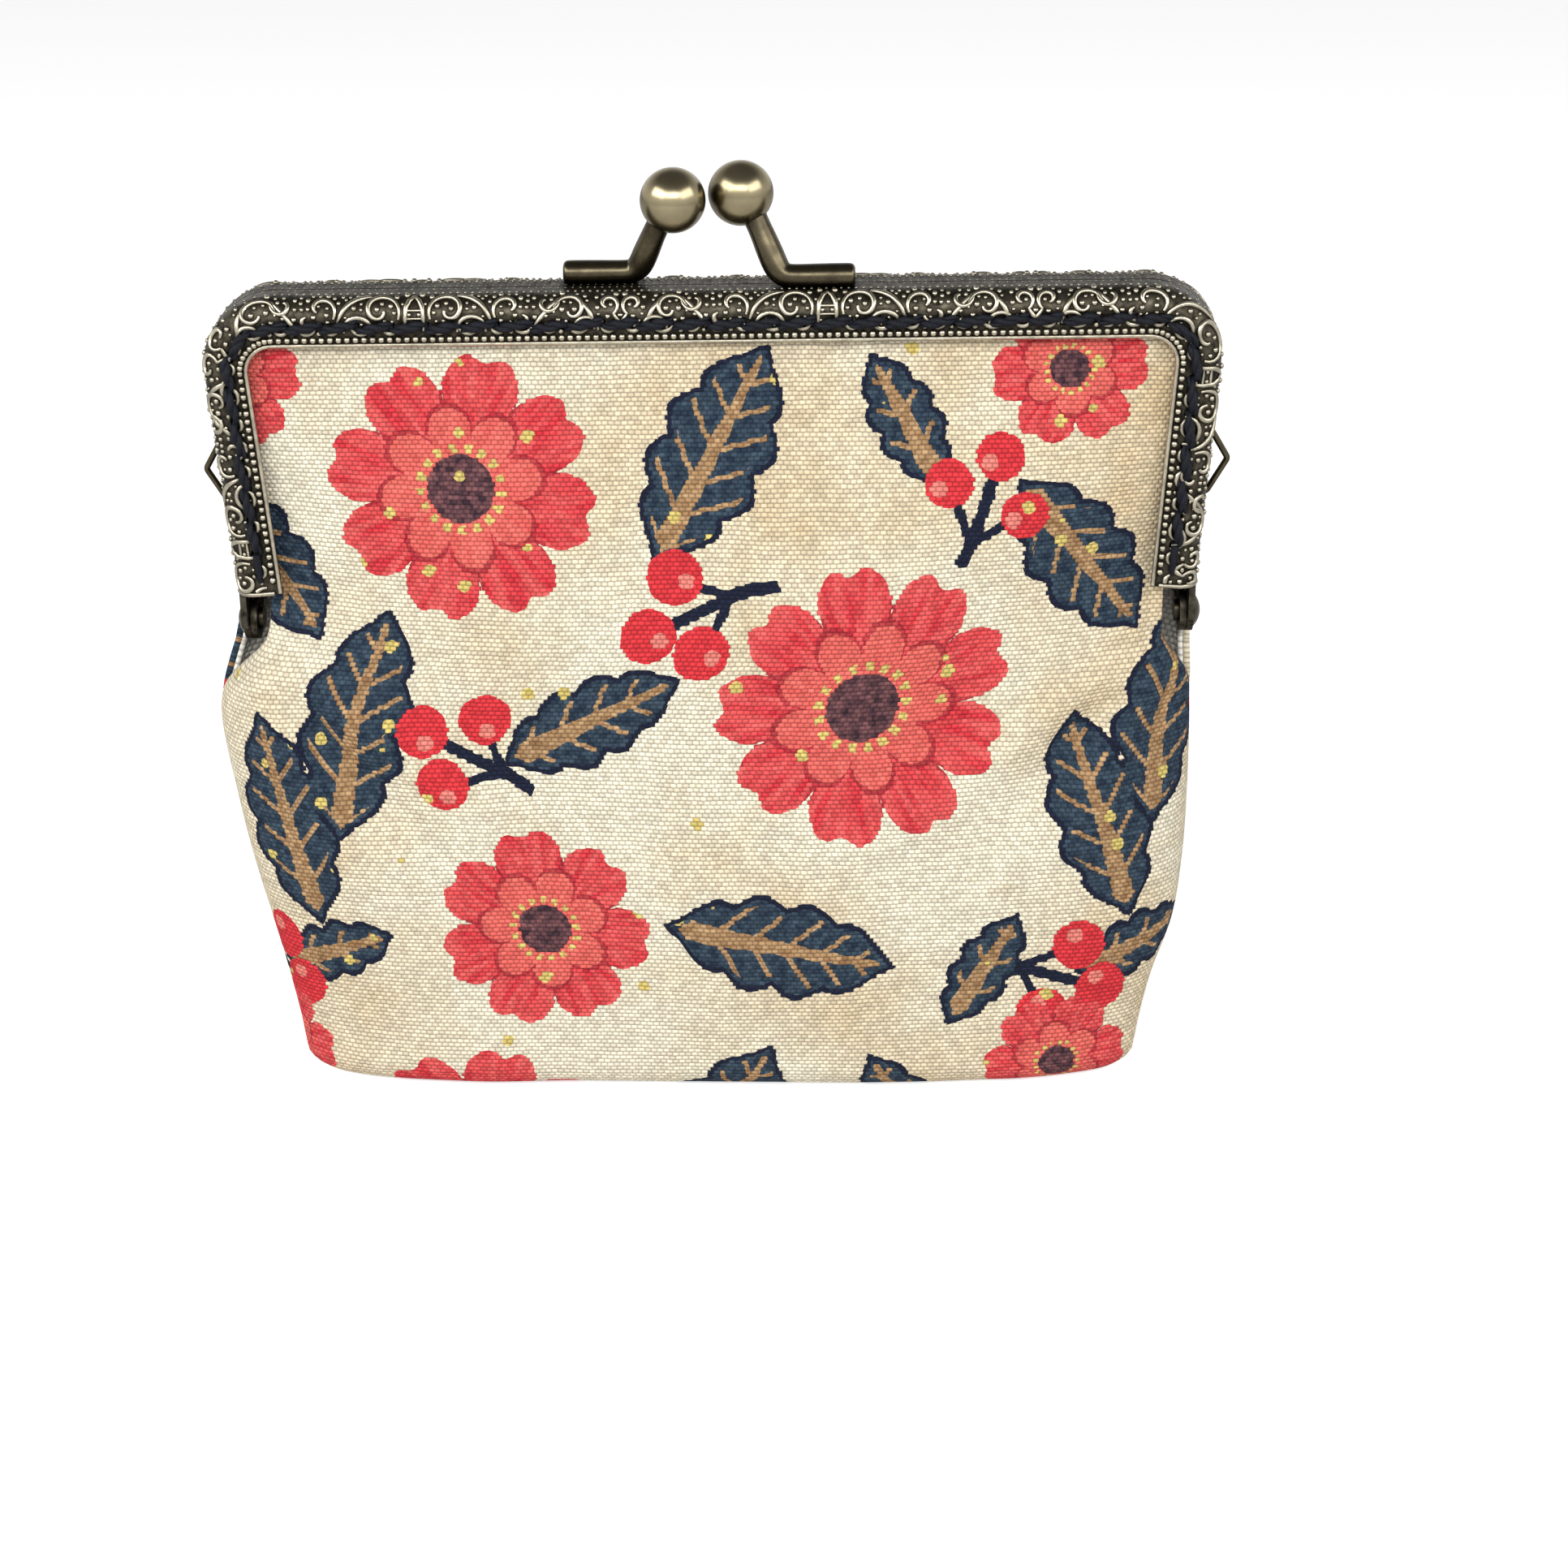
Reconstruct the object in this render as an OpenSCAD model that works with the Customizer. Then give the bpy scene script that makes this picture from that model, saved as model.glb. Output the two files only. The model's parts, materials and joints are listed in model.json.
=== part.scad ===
// Kiss-clasp coin purse: a sew-in metal frame in two hinged halves, with a
// lined canvas pouch. Millimetres. +Z is up, -Y is the front, and the origin
// is the middle of the pouch's base.

/* [Frame] */
// Outer width of the frame at its top corners
frame_w = 125; // [110:1:140]
// Height of the frame's top edge above the base
frame_top = 104; // [98:0.5:110]
// Depth of one frame half, from the parting plane to its front face
half_depth = 5.5; // [5.5:0.1:6.5]
// Height of the face band, measured inwards from the outer rim
band_h = 5.8; // [5.4:0.1:6.5]
// Sheet thickness of the frame channel
sheet_t = 0.6; // [0.4:0.05:0.8]
// Outer radius of the frame's top corners
corner_r = 9; // [8:0.5:14]
// Radius that rolls the rim over into the face
rim_r = 2.7; // [2:0.1:2.7]
// Inward lean of the arms, in degrees
arm_lean = 4.49; // [0:0.005:6]

/* [Hinge] */
// Height of the hinge axis above the base
hinge_z = 60.7; // [58:0.1:66]
// Gap between the hinge axis and the lower end of the arms
arm_end_gap = 5.4; // [3.3:0.1:6.5]
// Radius of the round hinge ears
ear_r = 2.7; // [2:0.1:2.8]
// Thickness of a hinge ear
ear_t = 0.8; // [0.6:0.1:1]
// Radius of the rivet shank
rivet_r = 1; // [0.7:0.05:1.3]
// Radius of the rivet's domed head
rivet_head_r = 2.3; // [1.6:0.1:2.6]

/* [Clasp] */
// Radius of a clasp ball
ball_r = 4; // [3:0.1:4.5]
// Height of the ball centres above the frame's top edge
ball_rise = 11; // [9:0.1:13]
// Radius of the bent clasp posts
post_r = 1.35; // [1:0.05:1.6]
// Length of the straight foot of a clasp post
post_foot = 9; // [6:0.5:12]
// Distance that each ball lies beyond the parting plane
ball_cross = 1.6; // [1:0.1:2.5]

/* [Stitching] */
// Spacing of the sewing holes along the frame
hole_pitch = 4.3; // [3.8:0.1:6]
// Radius of the sewing holes
hole_r = 0.75; // [0.6:0.05:0.9]
// Distance of the sewing line from the outer rim
hole_inset = 3.4; // [3:0.1:3.8]
// Radius of the sewing thread
thread_r = 0.5; // [0.35:0.05:0.55]

/* [Chain loops] */
// Radius of the wire of the side loops
wire_r = 0.4; // [0.3:0.05:0.5]
// How far the loops stand out from the arms
loop_reach = 3; // [2:0.1:5]
// Height between the two legs of a loop
loop_h = 8.8; // [7:0.1:11]
// Distance of the loops below the frame's top edge
loop_drop = 24; // [20:0.5:26]

/* [Fabric] */
// Thickness of the outer canvas and of the lining
cloth_t = 0.8; // [0.5:0.05:1]
// Half width of the pouch at its base
base_half_w = 51; // [46:0.5:56]
// Half depth of the pouch at its base
base_half_d = 14; // [11:0.5:18]
// Half width of the pouch at its widest
belly_half_w = 62; // [58:0.5:65]
// How far the upper panels belly out of the frame
upper_belly = 8.9; // [8.5:0.1:12]

/* [Hidden] */
$fn = 48;

brass = "#6f674c";
bright_brass = "#a39a70";
navy = "#141a2c";
canvas = "#dcc89c";
off_white = "#e9e4d6";

run_gap = 0.05;     // clearance of the rivet in the front ears
fit_gap = 0.08;     // clearance of parts that are fixed to each other
part_gap = 0.1;     // distance of each half's rim from the parting plane
cloth_gap = 0.12;   // distance between the canvas and the lining
lip_gap = 0.3;      // clearance of the pouch's lip inside the upper panels
back_wall_d = 1.3;  // distance of the channel's rear wall from the parting plane
back_wall_h = 5;    // height of that wall
corner_x = frame_w / 2 - corner_r;
corner_z = frame_top - corner_r;
arm_len = corner_z - hinge_z - arm_end_gap;

// The hinge ears: the front half's pair lies outside the back half's pair
arm_end_x = corner_x + corner_r * cos(arm_lean) - arm_len * sin(arm_lean);
outer_ear_x = arm_end_x - ear_t;
inner_ear_x = outer_ear_x - ear_t - run_gap * 2;
ear_root = 4;       // height of the joggled root that joins an ear to its arm
root_d = 2;         // depth of that root in front of the rear wall

// ---------- shared shapes ----------

// A round bar between two points
module bar(a, b, r) {
    v = b - a;
    translate(a)
        rotate([0, acos(v.z / norm(v)), atan2(v.y, v.x)])
            cylinder(h = norm(v), r = r);
}

// A bent wire is a chain of these two: each draws its stretch from the origin up +Z,
// and then draws its children at the far end of it
module straight(l, r) {
    cylinder(h = l, r = r);
    translate([0, 0, l]) children();
}

// A bend of radius b towards +X
module turn(angle, b, r) {
    translate([b, 0, 0]) {
        rotate([90, 0, 180]) rotate_extrude(angle = angle) translate([b, 0]) circle(r);
        rotate([0, angle, 0]) translate([-b, 0, 0]) children();
    }
}

// Draws its children on the right and mirrored on the left
module both_sides() {
    children();
    mirror([1, 0, 0]) children();
}

// Carries a shape from the square corner of the right arm into its leaning place
module on_right_arm() {
    translate([corner_x, 0, corner_z]) rotate([0, arm_lean, 0]) children();
}

// ---------- frame halves ----------

// Outline of the channel filled in: x is inwards from the rim, y is forwards
module channel_block(inset) {
    r = rim_r - inset;
    translate([inset, part_gap]) square([band_h - inset, half_depth - rim_r - part_gap]);
    translate([rim_r, part_gap]) square([band_h - rim_r, half_depth - inset - part_gap]);
    translate([rim_r, half_depth - rim_r]) circle(r);
}

// Section of one channel: a face with a rolled rim, and a set-back rear wall
module channel_section() {
    difference() {
        channel_block(0);
        difference() {
            translate([0, -1]) square([band_h + 1, half_depth + 1]);
            translate([0, part_gap]) square([sheet_t, half_depth]);
            difference() {
                translate([-1, -1]) square([band_h + 2, half_depth + 2]);
                channel_block(sheet_t);
            }
        }
    }
    translate([0, back_wall_d]) square([back_wall_h, sheet_t]);
}

// The channel run along the top bar, round both corners and down both arms
module channel() {
    translate([corner_x, 0, frame_top])
        rotate([0, 90, 180]) linear_extrude(2 * corner_x) channel_section();
    both_sides() {
        translate([corner_x, 0, corner_z])
            rotate([90, arm_lean, 0])
                rotate_extrude(angle = 90 + arm_lean)
                    translate([corner_r, 0]) mirror([1, 0]) channel_section();
        on_right_arm()
            translate([corner_r, 0, -arm_len])
                rotate([0, 0, 180]) linear_extrude(arm_len) channel_section();
    }
}

// Place [x, z] on the sewing line at a distance s from the middle of the top bar
sew_r = corner_r - hole_inset;
sew_arc = sew_r * PI * (90 + arm_lean) / 180;
function sew_point(s) =
    s <= corner_x ? [s, frame_top - hole_inset] :
    s <= corner_x + sew_arc ?
        let (a = 90 - (s - corner_x) / sew_r * 180 / PI)
        [corner_x + sew_r * cos(a), corner_z + sew_r * sin(a)] :
    let (down = s - corner_x - sew_arc)
        [corner_x + sew_r * cos(arm_lean) - down * sin(arm_lean),
         corner_z - sew_r * sin(arm_lean) - down * cos(arm_lean)];
sew_end = 2.2;      // distance of the last hole from the arm's lower end, at least
sew_len = corner_x + sew_arc + arm_len - sew_end;
holes_a_side = floor(sew_len / hole_pitch);

// Draws its children at every sewing hole
module at_holes() {
    for (side = [1, -1], i = [(side > 0 ? 0 : 1) : holes_a_side]) {
        p = sew_point(i * hole_pitch);
        translate([side * p.x, 0, p.y]) children();
    }
}

// One hinge ear on the right: a drilled disc with a root inside the arm's channel
module ear(x) {
    difference() {
        union() {
            translate([x, 0, hinge_z]) rotate([0, 90, 0]) cylinder(h = ear_t, r = ear_r);
            translate([x, -back_wall_d - sheet_t - root_d, hinge_z])
                cube([ear_t, root_d + sheet_t + back_wall_d - part_gap, arm_end_gap + ear_root]);
            translate([x, -back_wall_d - sheet_t - root_d, hinge_z + arm_end_gap])
                cube([arm_end_x - x - sheet_t / 3, root_d, ear_root]);
        }
        translate([x - 1, 0, hinge_z]) rotate([0, 90, 0])
            cylinder(h = ear_t + 2, r = rivet_r + (x == outer_ear_x ? run_gap : fit_gap));
    }
}

// One frame half, drawn as the front one
module frame_half(ear_x) {
    difference() {
        channel();
        at_holes() rotate([90, 0, 0]) cylinder(h = half_depth + 1, r = hole_r, $fn = 24);
    }
    both_sides() ear(ear_x);
}

module front_frame() {
    color(brass) frame_half(outer_ear_x);
}

module back_frame() {
    color(brass) difference() {
        mirror([0, 1, 0]) frame_half(inner_ear_x);
        both_sides() for (z = loop_leg_z)
            bar([loop_foot_x - 1, loop_y, z], [loop_apex_x, loop_y, z], wire_r + run_gap);
    }
}

// ---------- rivets ----------

rivet_dome_h = 1;   // height of the domed head
tail_h = 0.5;       // height of the upset tail
tail_flare = 0.5;   // it stands this much over the shank

// Turned section: a domed head outside, the shank, and the upset tail inside
module rivet_section() {
    shank = outer_ear_x + ear_t + run_gap - (inner_ear_x - run_gap);
    dome_r = (rivet_head_r * rivet_head_r + rivet_dome_h * rivet_dome_h) / (2 * rivet_dome_h);
    translate([0, -tail_h]) square([rivet_r + tail_flare, tail_h]);
    translate([0, -tail_h]) square([rivet_r, shank + tail_h + rivet_dome_h / 2]);
    intersection() {
        translate([0, shank + rivet_dome_h - dome_r]) circle(dome_r, $fn = 96);
        translate([0, shank]) square([rivet_head_r + 1, rivet_dome_h + 1]);
    }
}

module rivet() {
    color(bright_brass) translate([inner_ear_x - run_gap, 0, hinge_z])
        rotate([0, 90, 0]) rotate_extrude() rivet_section();
}

module right_rivet() { rivet(); }
module left_rivet() { mirror([1, 0, 0]) rivet(); }

// ---------- clasp ----------

// The balls pass each other with a hair of clearance
ball_x = ball_r + fit_gap;
post_y = 1.5;                       // distance of a post's foot from the parting plane
post_z = frame_top + post_r * 0.8;  // the foot is soldered down on a flat
neck_turn = 60.4;                   // the neck turns up out of the foot by this angle
post_bend = 3;                      // radius of the bend between them
post_end = 1.2;                     // the neck ends this far below the ball's centre
post_tilt = atan2(ball_cross + post_y, frame_top + ball_rise - post_z);
neck_rise = norm([ball_cross + post_y, frame_top + ball_rise - post_z]);
neck_len = neck_rise / sin(neck_turn);
foot_in_x = ball_x + neck_len * cos(neck_turn); // where the two would meet if sharp
bend_trim = post_bend * tan(neck_turn / 2);

// Draws its children at the outer end of the right post's foot, lying back towards the neck
module at_foot() {
    translate([foot_in_x + post_foot, -post_y, post_z])
        rotate([-post_tilt, 0, 0]) rotate([0, -90, 0]) children();
}

// Right post with its foot on the front half, and its ball behind the parting plane
module clasp_post() {
    color(brass) difference() {
        at_foot() straight(post_foot - bend_trim, post_r) turn(neck_turn, post_bend, post_r)
            straight(neck_len - bend_trim - post_end, post_r);
        translate([0, -post_y - 2 * post_r, frame_top - 2 * post_r])
            cube([foot_in_x + post_foot + 1, 4 * post_r, 2 * post_r]);
    }
}

module clasp_ball() {
    color(bright_brass) difference() {
        translate([ball_x, ball_cross, frame_top + ball_rise]) sphere(ball_r, $fn = 96);
        at_foot() translate([0, 0, post_foot]) rotate([0, neck_turn, 0])
            cylinder(h = neck_len - post_end + fit_gap, r = post_r + fit_gap);
    }
}

module right_clasp_post() { clasp_post(); }
module right_clasp_ball() { clasp_ball(); }
module left_clasp_post() { rotate([0, 0, 180]) clasp_post(); }
module left_clasp_ball() { rotate([0, 0, 180]) clasp_ball(); }

// ---------- chain loops ----------

loop_y = 2.6;   // the loops belong to the back half
loop_rim_x = corner_x + corner_r * cos(arm_lean) - (loop_drop - corner_r) * sin(arm_lean);
loop_inside = 0.3;  // the legs end this far inside the arm's wall, beyond the wire's width
loop_foot_x = loop_rim_x - sheet_t - 2 * wire_r - loop_inside;
loop_bend = 0.7;    // radius of the bends
loop_turn = 60;     // each leg turns this far towards the apex
loop_leg_z = [frame_top - loop_drop + loop_h / 2, frame_top - loop_drop - loop_h / 2];
knee_trim = loop_bend * tan(loop_turn / 2);
apex_trim = loop_bend * tan(90 - loop_turn);
slope_len = loop_h / 2 / sin(loop_turn);
loop_apex_x = loop_rim_x + loop_reach + apex_trim / 4;
knee_x = loop_apex_x - loop_h / 2 / tan(loop_turn);

// A wire triangle: two legs through the arm, two slopes, and the apex between them
module chain_loop() {
    leg = knee_x - loop_foot_x - knee_trim;
    slope = slope_len - knee_trim - apex_trim;
    color(brass) translate([loop_foot_x, loop_y, loop_leg_z[0]]) rotate([0, 90, 0])
        straight(leg, wire_r) turn(loop_turn, loop_bend, wire_r)
            straight(slope, wire_r) turn(180 - 2 * loop_turn, loop_bend, wire_r)
                straight(slope, wire_r) turn(loop_turn, loop_bend, wire_r)
                    straight(leg, wire_r);
}

module right_chain_loop() { chain_loop(); }
module left_chain_loop() { mirror([1, 0, 0]) chain_loop(); }

// ---------- stitching ----------

// A round thread laid along the sewing line at a distance d in front of the parting plane
module thread_run(d, r) {
    translate([-corner_x, -d, frame_top - hole_inset])
        rotate([0, 90, 0]) cylinder(h = 2 * corner_x, r = r, $fn = 24);
    last = holes_a_side * hole_pitch - corner_x - sew_arc;
    both_sides() {
        translate([corner_x, -d, corner_z]) rotate([90, arm_lean, 0])
            rotate_extrude(angle = 90 + arm_lean)
                translate([sew_r, 0]) circle(r, $fn = 24);
        on_right_arm() translate([sew_r, -d, -last]) cylinder(h = last, r = r, $fn = 24);
    }
}

// Backstitch: a run on the face, a run behind the rear wall, and a pass in each hole
module stitching() {
    face_d = half_depth + thread_r + run_gap;
    inner_r = thread_r * 0.8;   // pulled tight behind the rear wall
    pass_r = thread_r * 0.7;    // and tighter in the holes
    inner_d = back_wall_d - inner_r - part_gap;
    color(navy) {
        thread_run(face_d, thread_r);
        thread_run(inner_d, inner_r);
        at_holes() translate([0, -inner_d, 0]) rotate([90, 0, 0])
            cylinder(h = face_d - inner_d, r = pass_r, $fn = 24);
    }
}

module front_stitching() { stitching(); }
module back_stitching() { mirror([0, 1, 0]) stitching(); }

// ---------- cloth ----------

// A closed sheet between two equal grids of points, the outer one facing the viewer
module sheet(outer, inner) {
    rows = len(outer);
    cols = len(outer[0]);
    n = rows * cols;
    function at(i, j) = i * cols + j;
    skin = [for (i = [0 : rows - 2], j = [0 : cols - 2])
        [at(i, j), at(i + 1, j), at(i + 1, j + 1), at(i, j + 1)]];
    rim = concat(
        [for (j = [0 : cols - 1]) at(0, j)],
        [for (i = [1 : rows - 1]) at(i, cols - 1)],
        [for (j = [cols - 2 : -1 : 0]) at(rows - 1, j)],
        [for (i = [rows - 2 : -1 : 1]) at(i, 0)]);
    faces = concat(
        [for (f = skin, t = [[f[0], f[1], f[2]], [f[0], f[2], f[3]]]) t],
        [for (f = skin, t = [[f[2], f[1], f[0]], [f[3], f[2], f[0]]]) [for (k = t) k + n]],
        [for (k = [0 : len(rim) - 1]) let (a = rim[k], b = rim[(k + 1) % len(rim)])
            each [[a, b, b + n], [a, b + n, a + n]]]);
    polyhedron(
        points = concat([for (row = outer) each row], [for (row = inner) each row]),
        faces = faces);
}

// Middle of the channel's depth, where the cloth is sewn in
cloth_mid = (back_wall_d + half_depth) / 2;

function ease(t) = let (c = min(1, max(0, t))) c * c * (3 - 2 * c);
function swell(c, e) = sign(c) * pow(abs(c), e);

// The lower pouch's top edge, its lip
lip_drop = 3.6;     // depth of the lip below the hinges at the sides, clear of the ears
lip_rise = 10.8;    // the middle of the lip stands this much higher
lip_side = 0.92;    // share of the half width where the lip starts to rise
lip_slope = 0.2;    // share of the half width over which it rises
lip_low = hinge_z - lip_drop;
lip_half_d = cloth_mid - cloth_gap / 2 - cloth_t + upper_belly - lip_gap;

// Section of the lower pouch by height, as a share of the hinge height: the width's way
// from base to belly, the depth's way from lip to base, and the squareness
width_way = [
    [0, 0], [0.16, 0.15], [0.32, 0.42], [0.48, 0.76], [0.64, 0.95],
    [0.80, 1], [0.88, 0.93], [0.94, 0.82], [1, 0.68], [1.1, 0.27]
];
depth_way = [
    [0, 1], [0.2, 1.14], [0.46, 1.21], [0.67, 1], [0.83, 0.58],
    [0.94, 0.21], [1, 0.07], [1.1, 0]
];
squareness = [[0, 5], [0.32, 3.6], [0.67, 2.6], [1, 2.3]];
base_edge_r = 3;    // rounding between the base and the walls

function between(from, to, way) = from + (to - from) * way;

// Point of the pouch's front wall: u runs from the right seam to the left one
function wall_point(u, z, inset) =
    let (h = z / hinge_z, e = 2 / lookup(h, squareness),
         w = between(base_half_w, belly_half_w, lookup(h, width_way)) - inset,
         d = between(lip_half_d, base_half_d, lookup(h, depth_way)) - inset)
    [w * swell(cos(180 * u), e), -d * swell(sin(180 * u), e), z];

function lip_z(u) =
    lip_low + lip_rise * ease((lip_side - abs(cos(180 * u))) / lip_slope);

// Point of the base: f runs from the middle seam to the edge radius
function base_point(u, f, inset) =
    let (p = wall_point(u, 0, base_edge_r))
    [p.x, p.y * f, inset];

// Point of the rounded edge between base and wall, a in degrees
function edge_point(u, a, inset) =
    let (r = base_edge_r - inset, p = wall_point(u, 0, base_edge_r - r * sin(a)))
    [p.x, p.y, base_edge_r - r * cos(a)];

lower_cols = 36;
wall_rows = 10;
function lower_grid(inset) = concat(
    [for (f = [0, 0.5]) [for (j = [0 : lower_cols]) base_point(j / lower_cols, f, inset)]],
    [for (a = [0 : 30 : 90]) [for (j = [0 : lower_cols]) edge_point(j / lower_cols, a, inset)]],
    [for (i = [1 : wall_rows]) [for (j = [0 : lower_cols])
        let (u = j / lower_cols, top = lip_z(u))
        wall_point(u, base_edge_r + (top - base_edge_r) * i / wall_rows, inset)]]);

module lower_sheet(inset) {
    sheet(lower_grid(inset), lower_grid(inset + cloth_t));
}

// Upper panel: from inside the channel down to just above the fixed lip
upper_drop = 6.4;   // height of the panel's lower edge above the hinges
edge_gap = 0.9;     // distance of the panel's edges from the ears and the channel's floor
flat_edge = 2.4;    // width of the panel's flat margin along the arms
corner_trim = 0.05; // share of the width taken off towards the frame's corners
upper_half_w = inner_ear_x - edge_gap;  // at the panel's lower edge
upper_low = hinge_z + upper_drop;
upper_top = frame_top - sheet_t - edge_gap;
upper_cols = 28;
upper_rows = 12;

function belly(x, z) =
    let (across = max(0, 1 - pow(abs(x) / (upper_half_w - flat_edge), 4)),
         up = (z - upper_low) / (frame_top - band_h - upper_low))
    upper_belly * across * (1 - ease(up));

function upper_grid(d) = [for (i = [0 : upper_rows]) [for (j = [0 : upper_cols])
    let (z = upper_low + (upper_top - upper_low) * i / upper_rows,
         x = (upper_half_w + (z - upper_low) * tan(arm_lean)) * (1 - 2 * j / upper_cols))
    [x * (1 - corner_trim * ease((z - corner_z) / corner_r) * pow(abs(x) / upper_half_w, 6)),
     -d - belly(x, z), z]]];

module upper_sheet(d) {
    sheet(upper_grid(d + cloth_t), upper_grid(d));
}

module front_panel_upper() { color(canvas) upper_sheet(cloth_mid + cloth_gap / 2); }
module front_lining_upper() { color(off_white) upper_sheet(cloth_mid - cloth_gap / 2 - cloth_t); }
module front_panel_lower() { color(canvas) lower_sheet(0); }
module front_lining_lower() { color(off_white) lower_sheet(cloth_t + cloth_gap); }
module back_panel_upper() { mirror([0, 1, 0]) front_panel_upper(); }
module back_lining_upper() { mirror([0, 1, 0]) front_lining_upper(); }
module back_panel_lower() { mirror([0, 1, 0]) front_panel_lower(); }
module back_lining_lower() { mirror([0, 1, 0]) front_lining_lower(); }

front_frame();
back_frame();
left_rivet();
right_rivet();
left_clasp_post();
right_clasp_post();
left_clasp_ball();
right_clasp_ball();
left_chain_loop();
right_chain_loop();
front_stitching();
back_stitching();
front_panel_upper();
front_panel_lower();
back_panel_upper();
back_panel_lower();
front_lining_upper();
front_lining_lower();
back_lining_upper();
back_lining_lower();
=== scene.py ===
import json
import math
import random

import bpy
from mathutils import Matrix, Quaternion, Vector, noise


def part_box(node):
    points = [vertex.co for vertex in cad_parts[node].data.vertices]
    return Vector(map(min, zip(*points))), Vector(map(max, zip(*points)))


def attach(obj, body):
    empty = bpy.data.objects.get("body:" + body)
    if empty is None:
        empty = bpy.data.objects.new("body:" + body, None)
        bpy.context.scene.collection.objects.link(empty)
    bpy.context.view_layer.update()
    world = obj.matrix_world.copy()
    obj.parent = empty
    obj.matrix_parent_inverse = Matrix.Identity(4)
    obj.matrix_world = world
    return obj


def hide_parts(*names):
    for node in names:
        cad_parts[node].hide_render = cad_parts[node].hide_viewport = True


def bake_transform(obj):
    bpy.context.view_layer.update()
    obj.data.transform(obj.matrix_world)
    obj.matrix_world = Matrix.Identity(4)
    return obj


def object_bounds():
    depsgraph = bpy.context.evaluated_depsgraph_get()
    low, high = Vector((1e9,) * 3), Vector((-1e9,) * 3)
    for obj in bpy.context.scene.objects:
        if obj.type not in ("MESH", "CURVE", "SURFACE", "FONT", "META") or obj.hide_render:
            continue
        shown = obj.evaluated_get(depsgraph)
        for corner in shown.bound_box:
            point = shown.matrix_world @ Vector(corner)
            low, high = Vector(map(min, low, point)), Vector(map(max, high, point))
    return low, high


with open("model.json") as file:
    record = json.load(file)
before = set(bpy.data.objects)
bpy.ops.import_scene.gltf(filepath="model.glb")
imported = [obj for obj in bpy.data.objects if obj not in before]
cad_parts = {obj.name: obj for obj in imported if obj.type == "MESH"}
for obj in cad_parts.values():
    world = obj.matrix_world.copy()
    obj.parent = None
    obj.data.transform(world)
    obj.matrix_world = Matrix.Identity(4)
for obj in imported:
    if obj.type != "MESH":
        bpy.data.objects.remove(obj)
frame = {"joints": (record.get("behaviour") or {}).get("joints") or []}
cad_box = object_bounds()

# ---------------------------------------------------------------------------
# The view: a purse standing on white paper, looked at from a little above
# with a long lens, held not quite level.
# ---------------------------------------------------------------------------
low = Vector(cad_box[0])
half_w, top_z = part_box("front_frame")[1][0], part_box("front_frame")[1][2]
middle = Vector((0.0, 0.0, top_z - 0.0385))
azimuth, elevation, roll = math.radians(2.3), math.radians(20.8), math.radians(1.35)
distance, view_width = 0.40, 0.199

bpy.ops.object.camera_add()
camera = bpy.context.object
camera.name = "camera"
camera.location = middle + distance * Vector((
    math.sin(azimuth) * math.cos(elevation),
    -math.cos(azimuth) * math.cos(elevation),
    math.sin(elevation)))
aim = (middle - camera.location).to_track_quat("-Z", "Y")
camera.rotation_euler = (aim @ Quaternion((0, 0, 1), -roll)).to_euler()
camera.data.sensor_width = 36
camera.data.lens = 36 * distance / view_width
camera.data.shift_x = 0.0435
camera.data.shift_y = -0.1315
bpy.context.scene.camera = camera

bpy.context.scene.view_settings.view_transform = "Standard"


def add_node(tree, kind, **settings):
    """A shader node with its properties set, and its inputs by name or number."""
    made = tree.nodes.new("ShaderNode" + kind)
    for key, value in settings.items():
        if hasattr(made, key):
            setattr(made, key, value)
        else:
            made.inputs[int(key[1:]) if key[1:].isdigit() else key.replace("_", " ")].default_value = value
    return made


def add_lamp(name, place, size, power, target=(0, 0, 0.06)):
    """A long softbox that faces the purse."""
    bpy.ops.object.light_add(type="AREA", location=place)
    lamp = bpy.context.object
    lamp.name = name
    lamp.data.shape = "RECTANGLE"
    lamp.data.size, lamp.data.size_y = size
    lamp.data.energy = power
    lamp.rotation_euler = (Vector(target) - lamp.location).to_track_quat("-Z", "Y").to_euler()


add_lamp("left_softbox", (-0.75, -0.50, 0.66), (0.95, 0.42), 7.6)
add_lamp("front_softbox", (0.0, -0.88, 0.66), (0.95, 0.34), 6.0)
add_lamp("right_softbox", (0.78, -0.45, 0.60), (0.95, 0.42), 5.0)

world = bpy.data.worlds.new("white_room")
bpy.context.scene.world = world
world.use_nodes = True
room = world.node_tree
room.nodes["Background"].inputs["Color"].default_value = (1, 1, 1, 1)
rays = add_node(room, "LightPath")
mirrored = add_node(room, "Math", operation="MAXIMUM")
room.links.new(rays.outputs["Is Glossy Ray"], mirrored.inputs[0])
room.links.new(rays.outputs["Is Transmission Ray"], mirrored.inputs[1])
seen = add_node(room, "Math", operation="MAXIMUM")
room.links.new(rays.outputs["Is Camera Ray"], seen.inputs[0])
room.links.new(mirrored.outputs[0], seen.inputs[1])
strength = add_node(room, "MapRange", _3=0.42, _4=1.0)
room.links.new(seen.outputs[0], strength.inputs["Value"])
# the room is dimmer overhead than along its walls, which models the round brass
heading = add_node(room, "TexCoord")
height = add_node(room, "SeparateXYZ")
room.links.new(heading.outputs["Generated"], height.inputs[0])
overhead = add_node(room, "MapRange", _1=0.22, _2=0.75, _3=1.0, _4=0.15)
room.links.new(height.outputs["Z"], overhead.inputs["Value"])
level = add_node(room, "Math", operation="MULTIPLY")
room.links.new(strength.outputs[0], level.inputs[0])
room.links.new(overhead.outputs[0], level.inputs[1])
room.links.new(level.outputs[0], room.nodes["Background"].inputs["Strength"])

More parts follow.
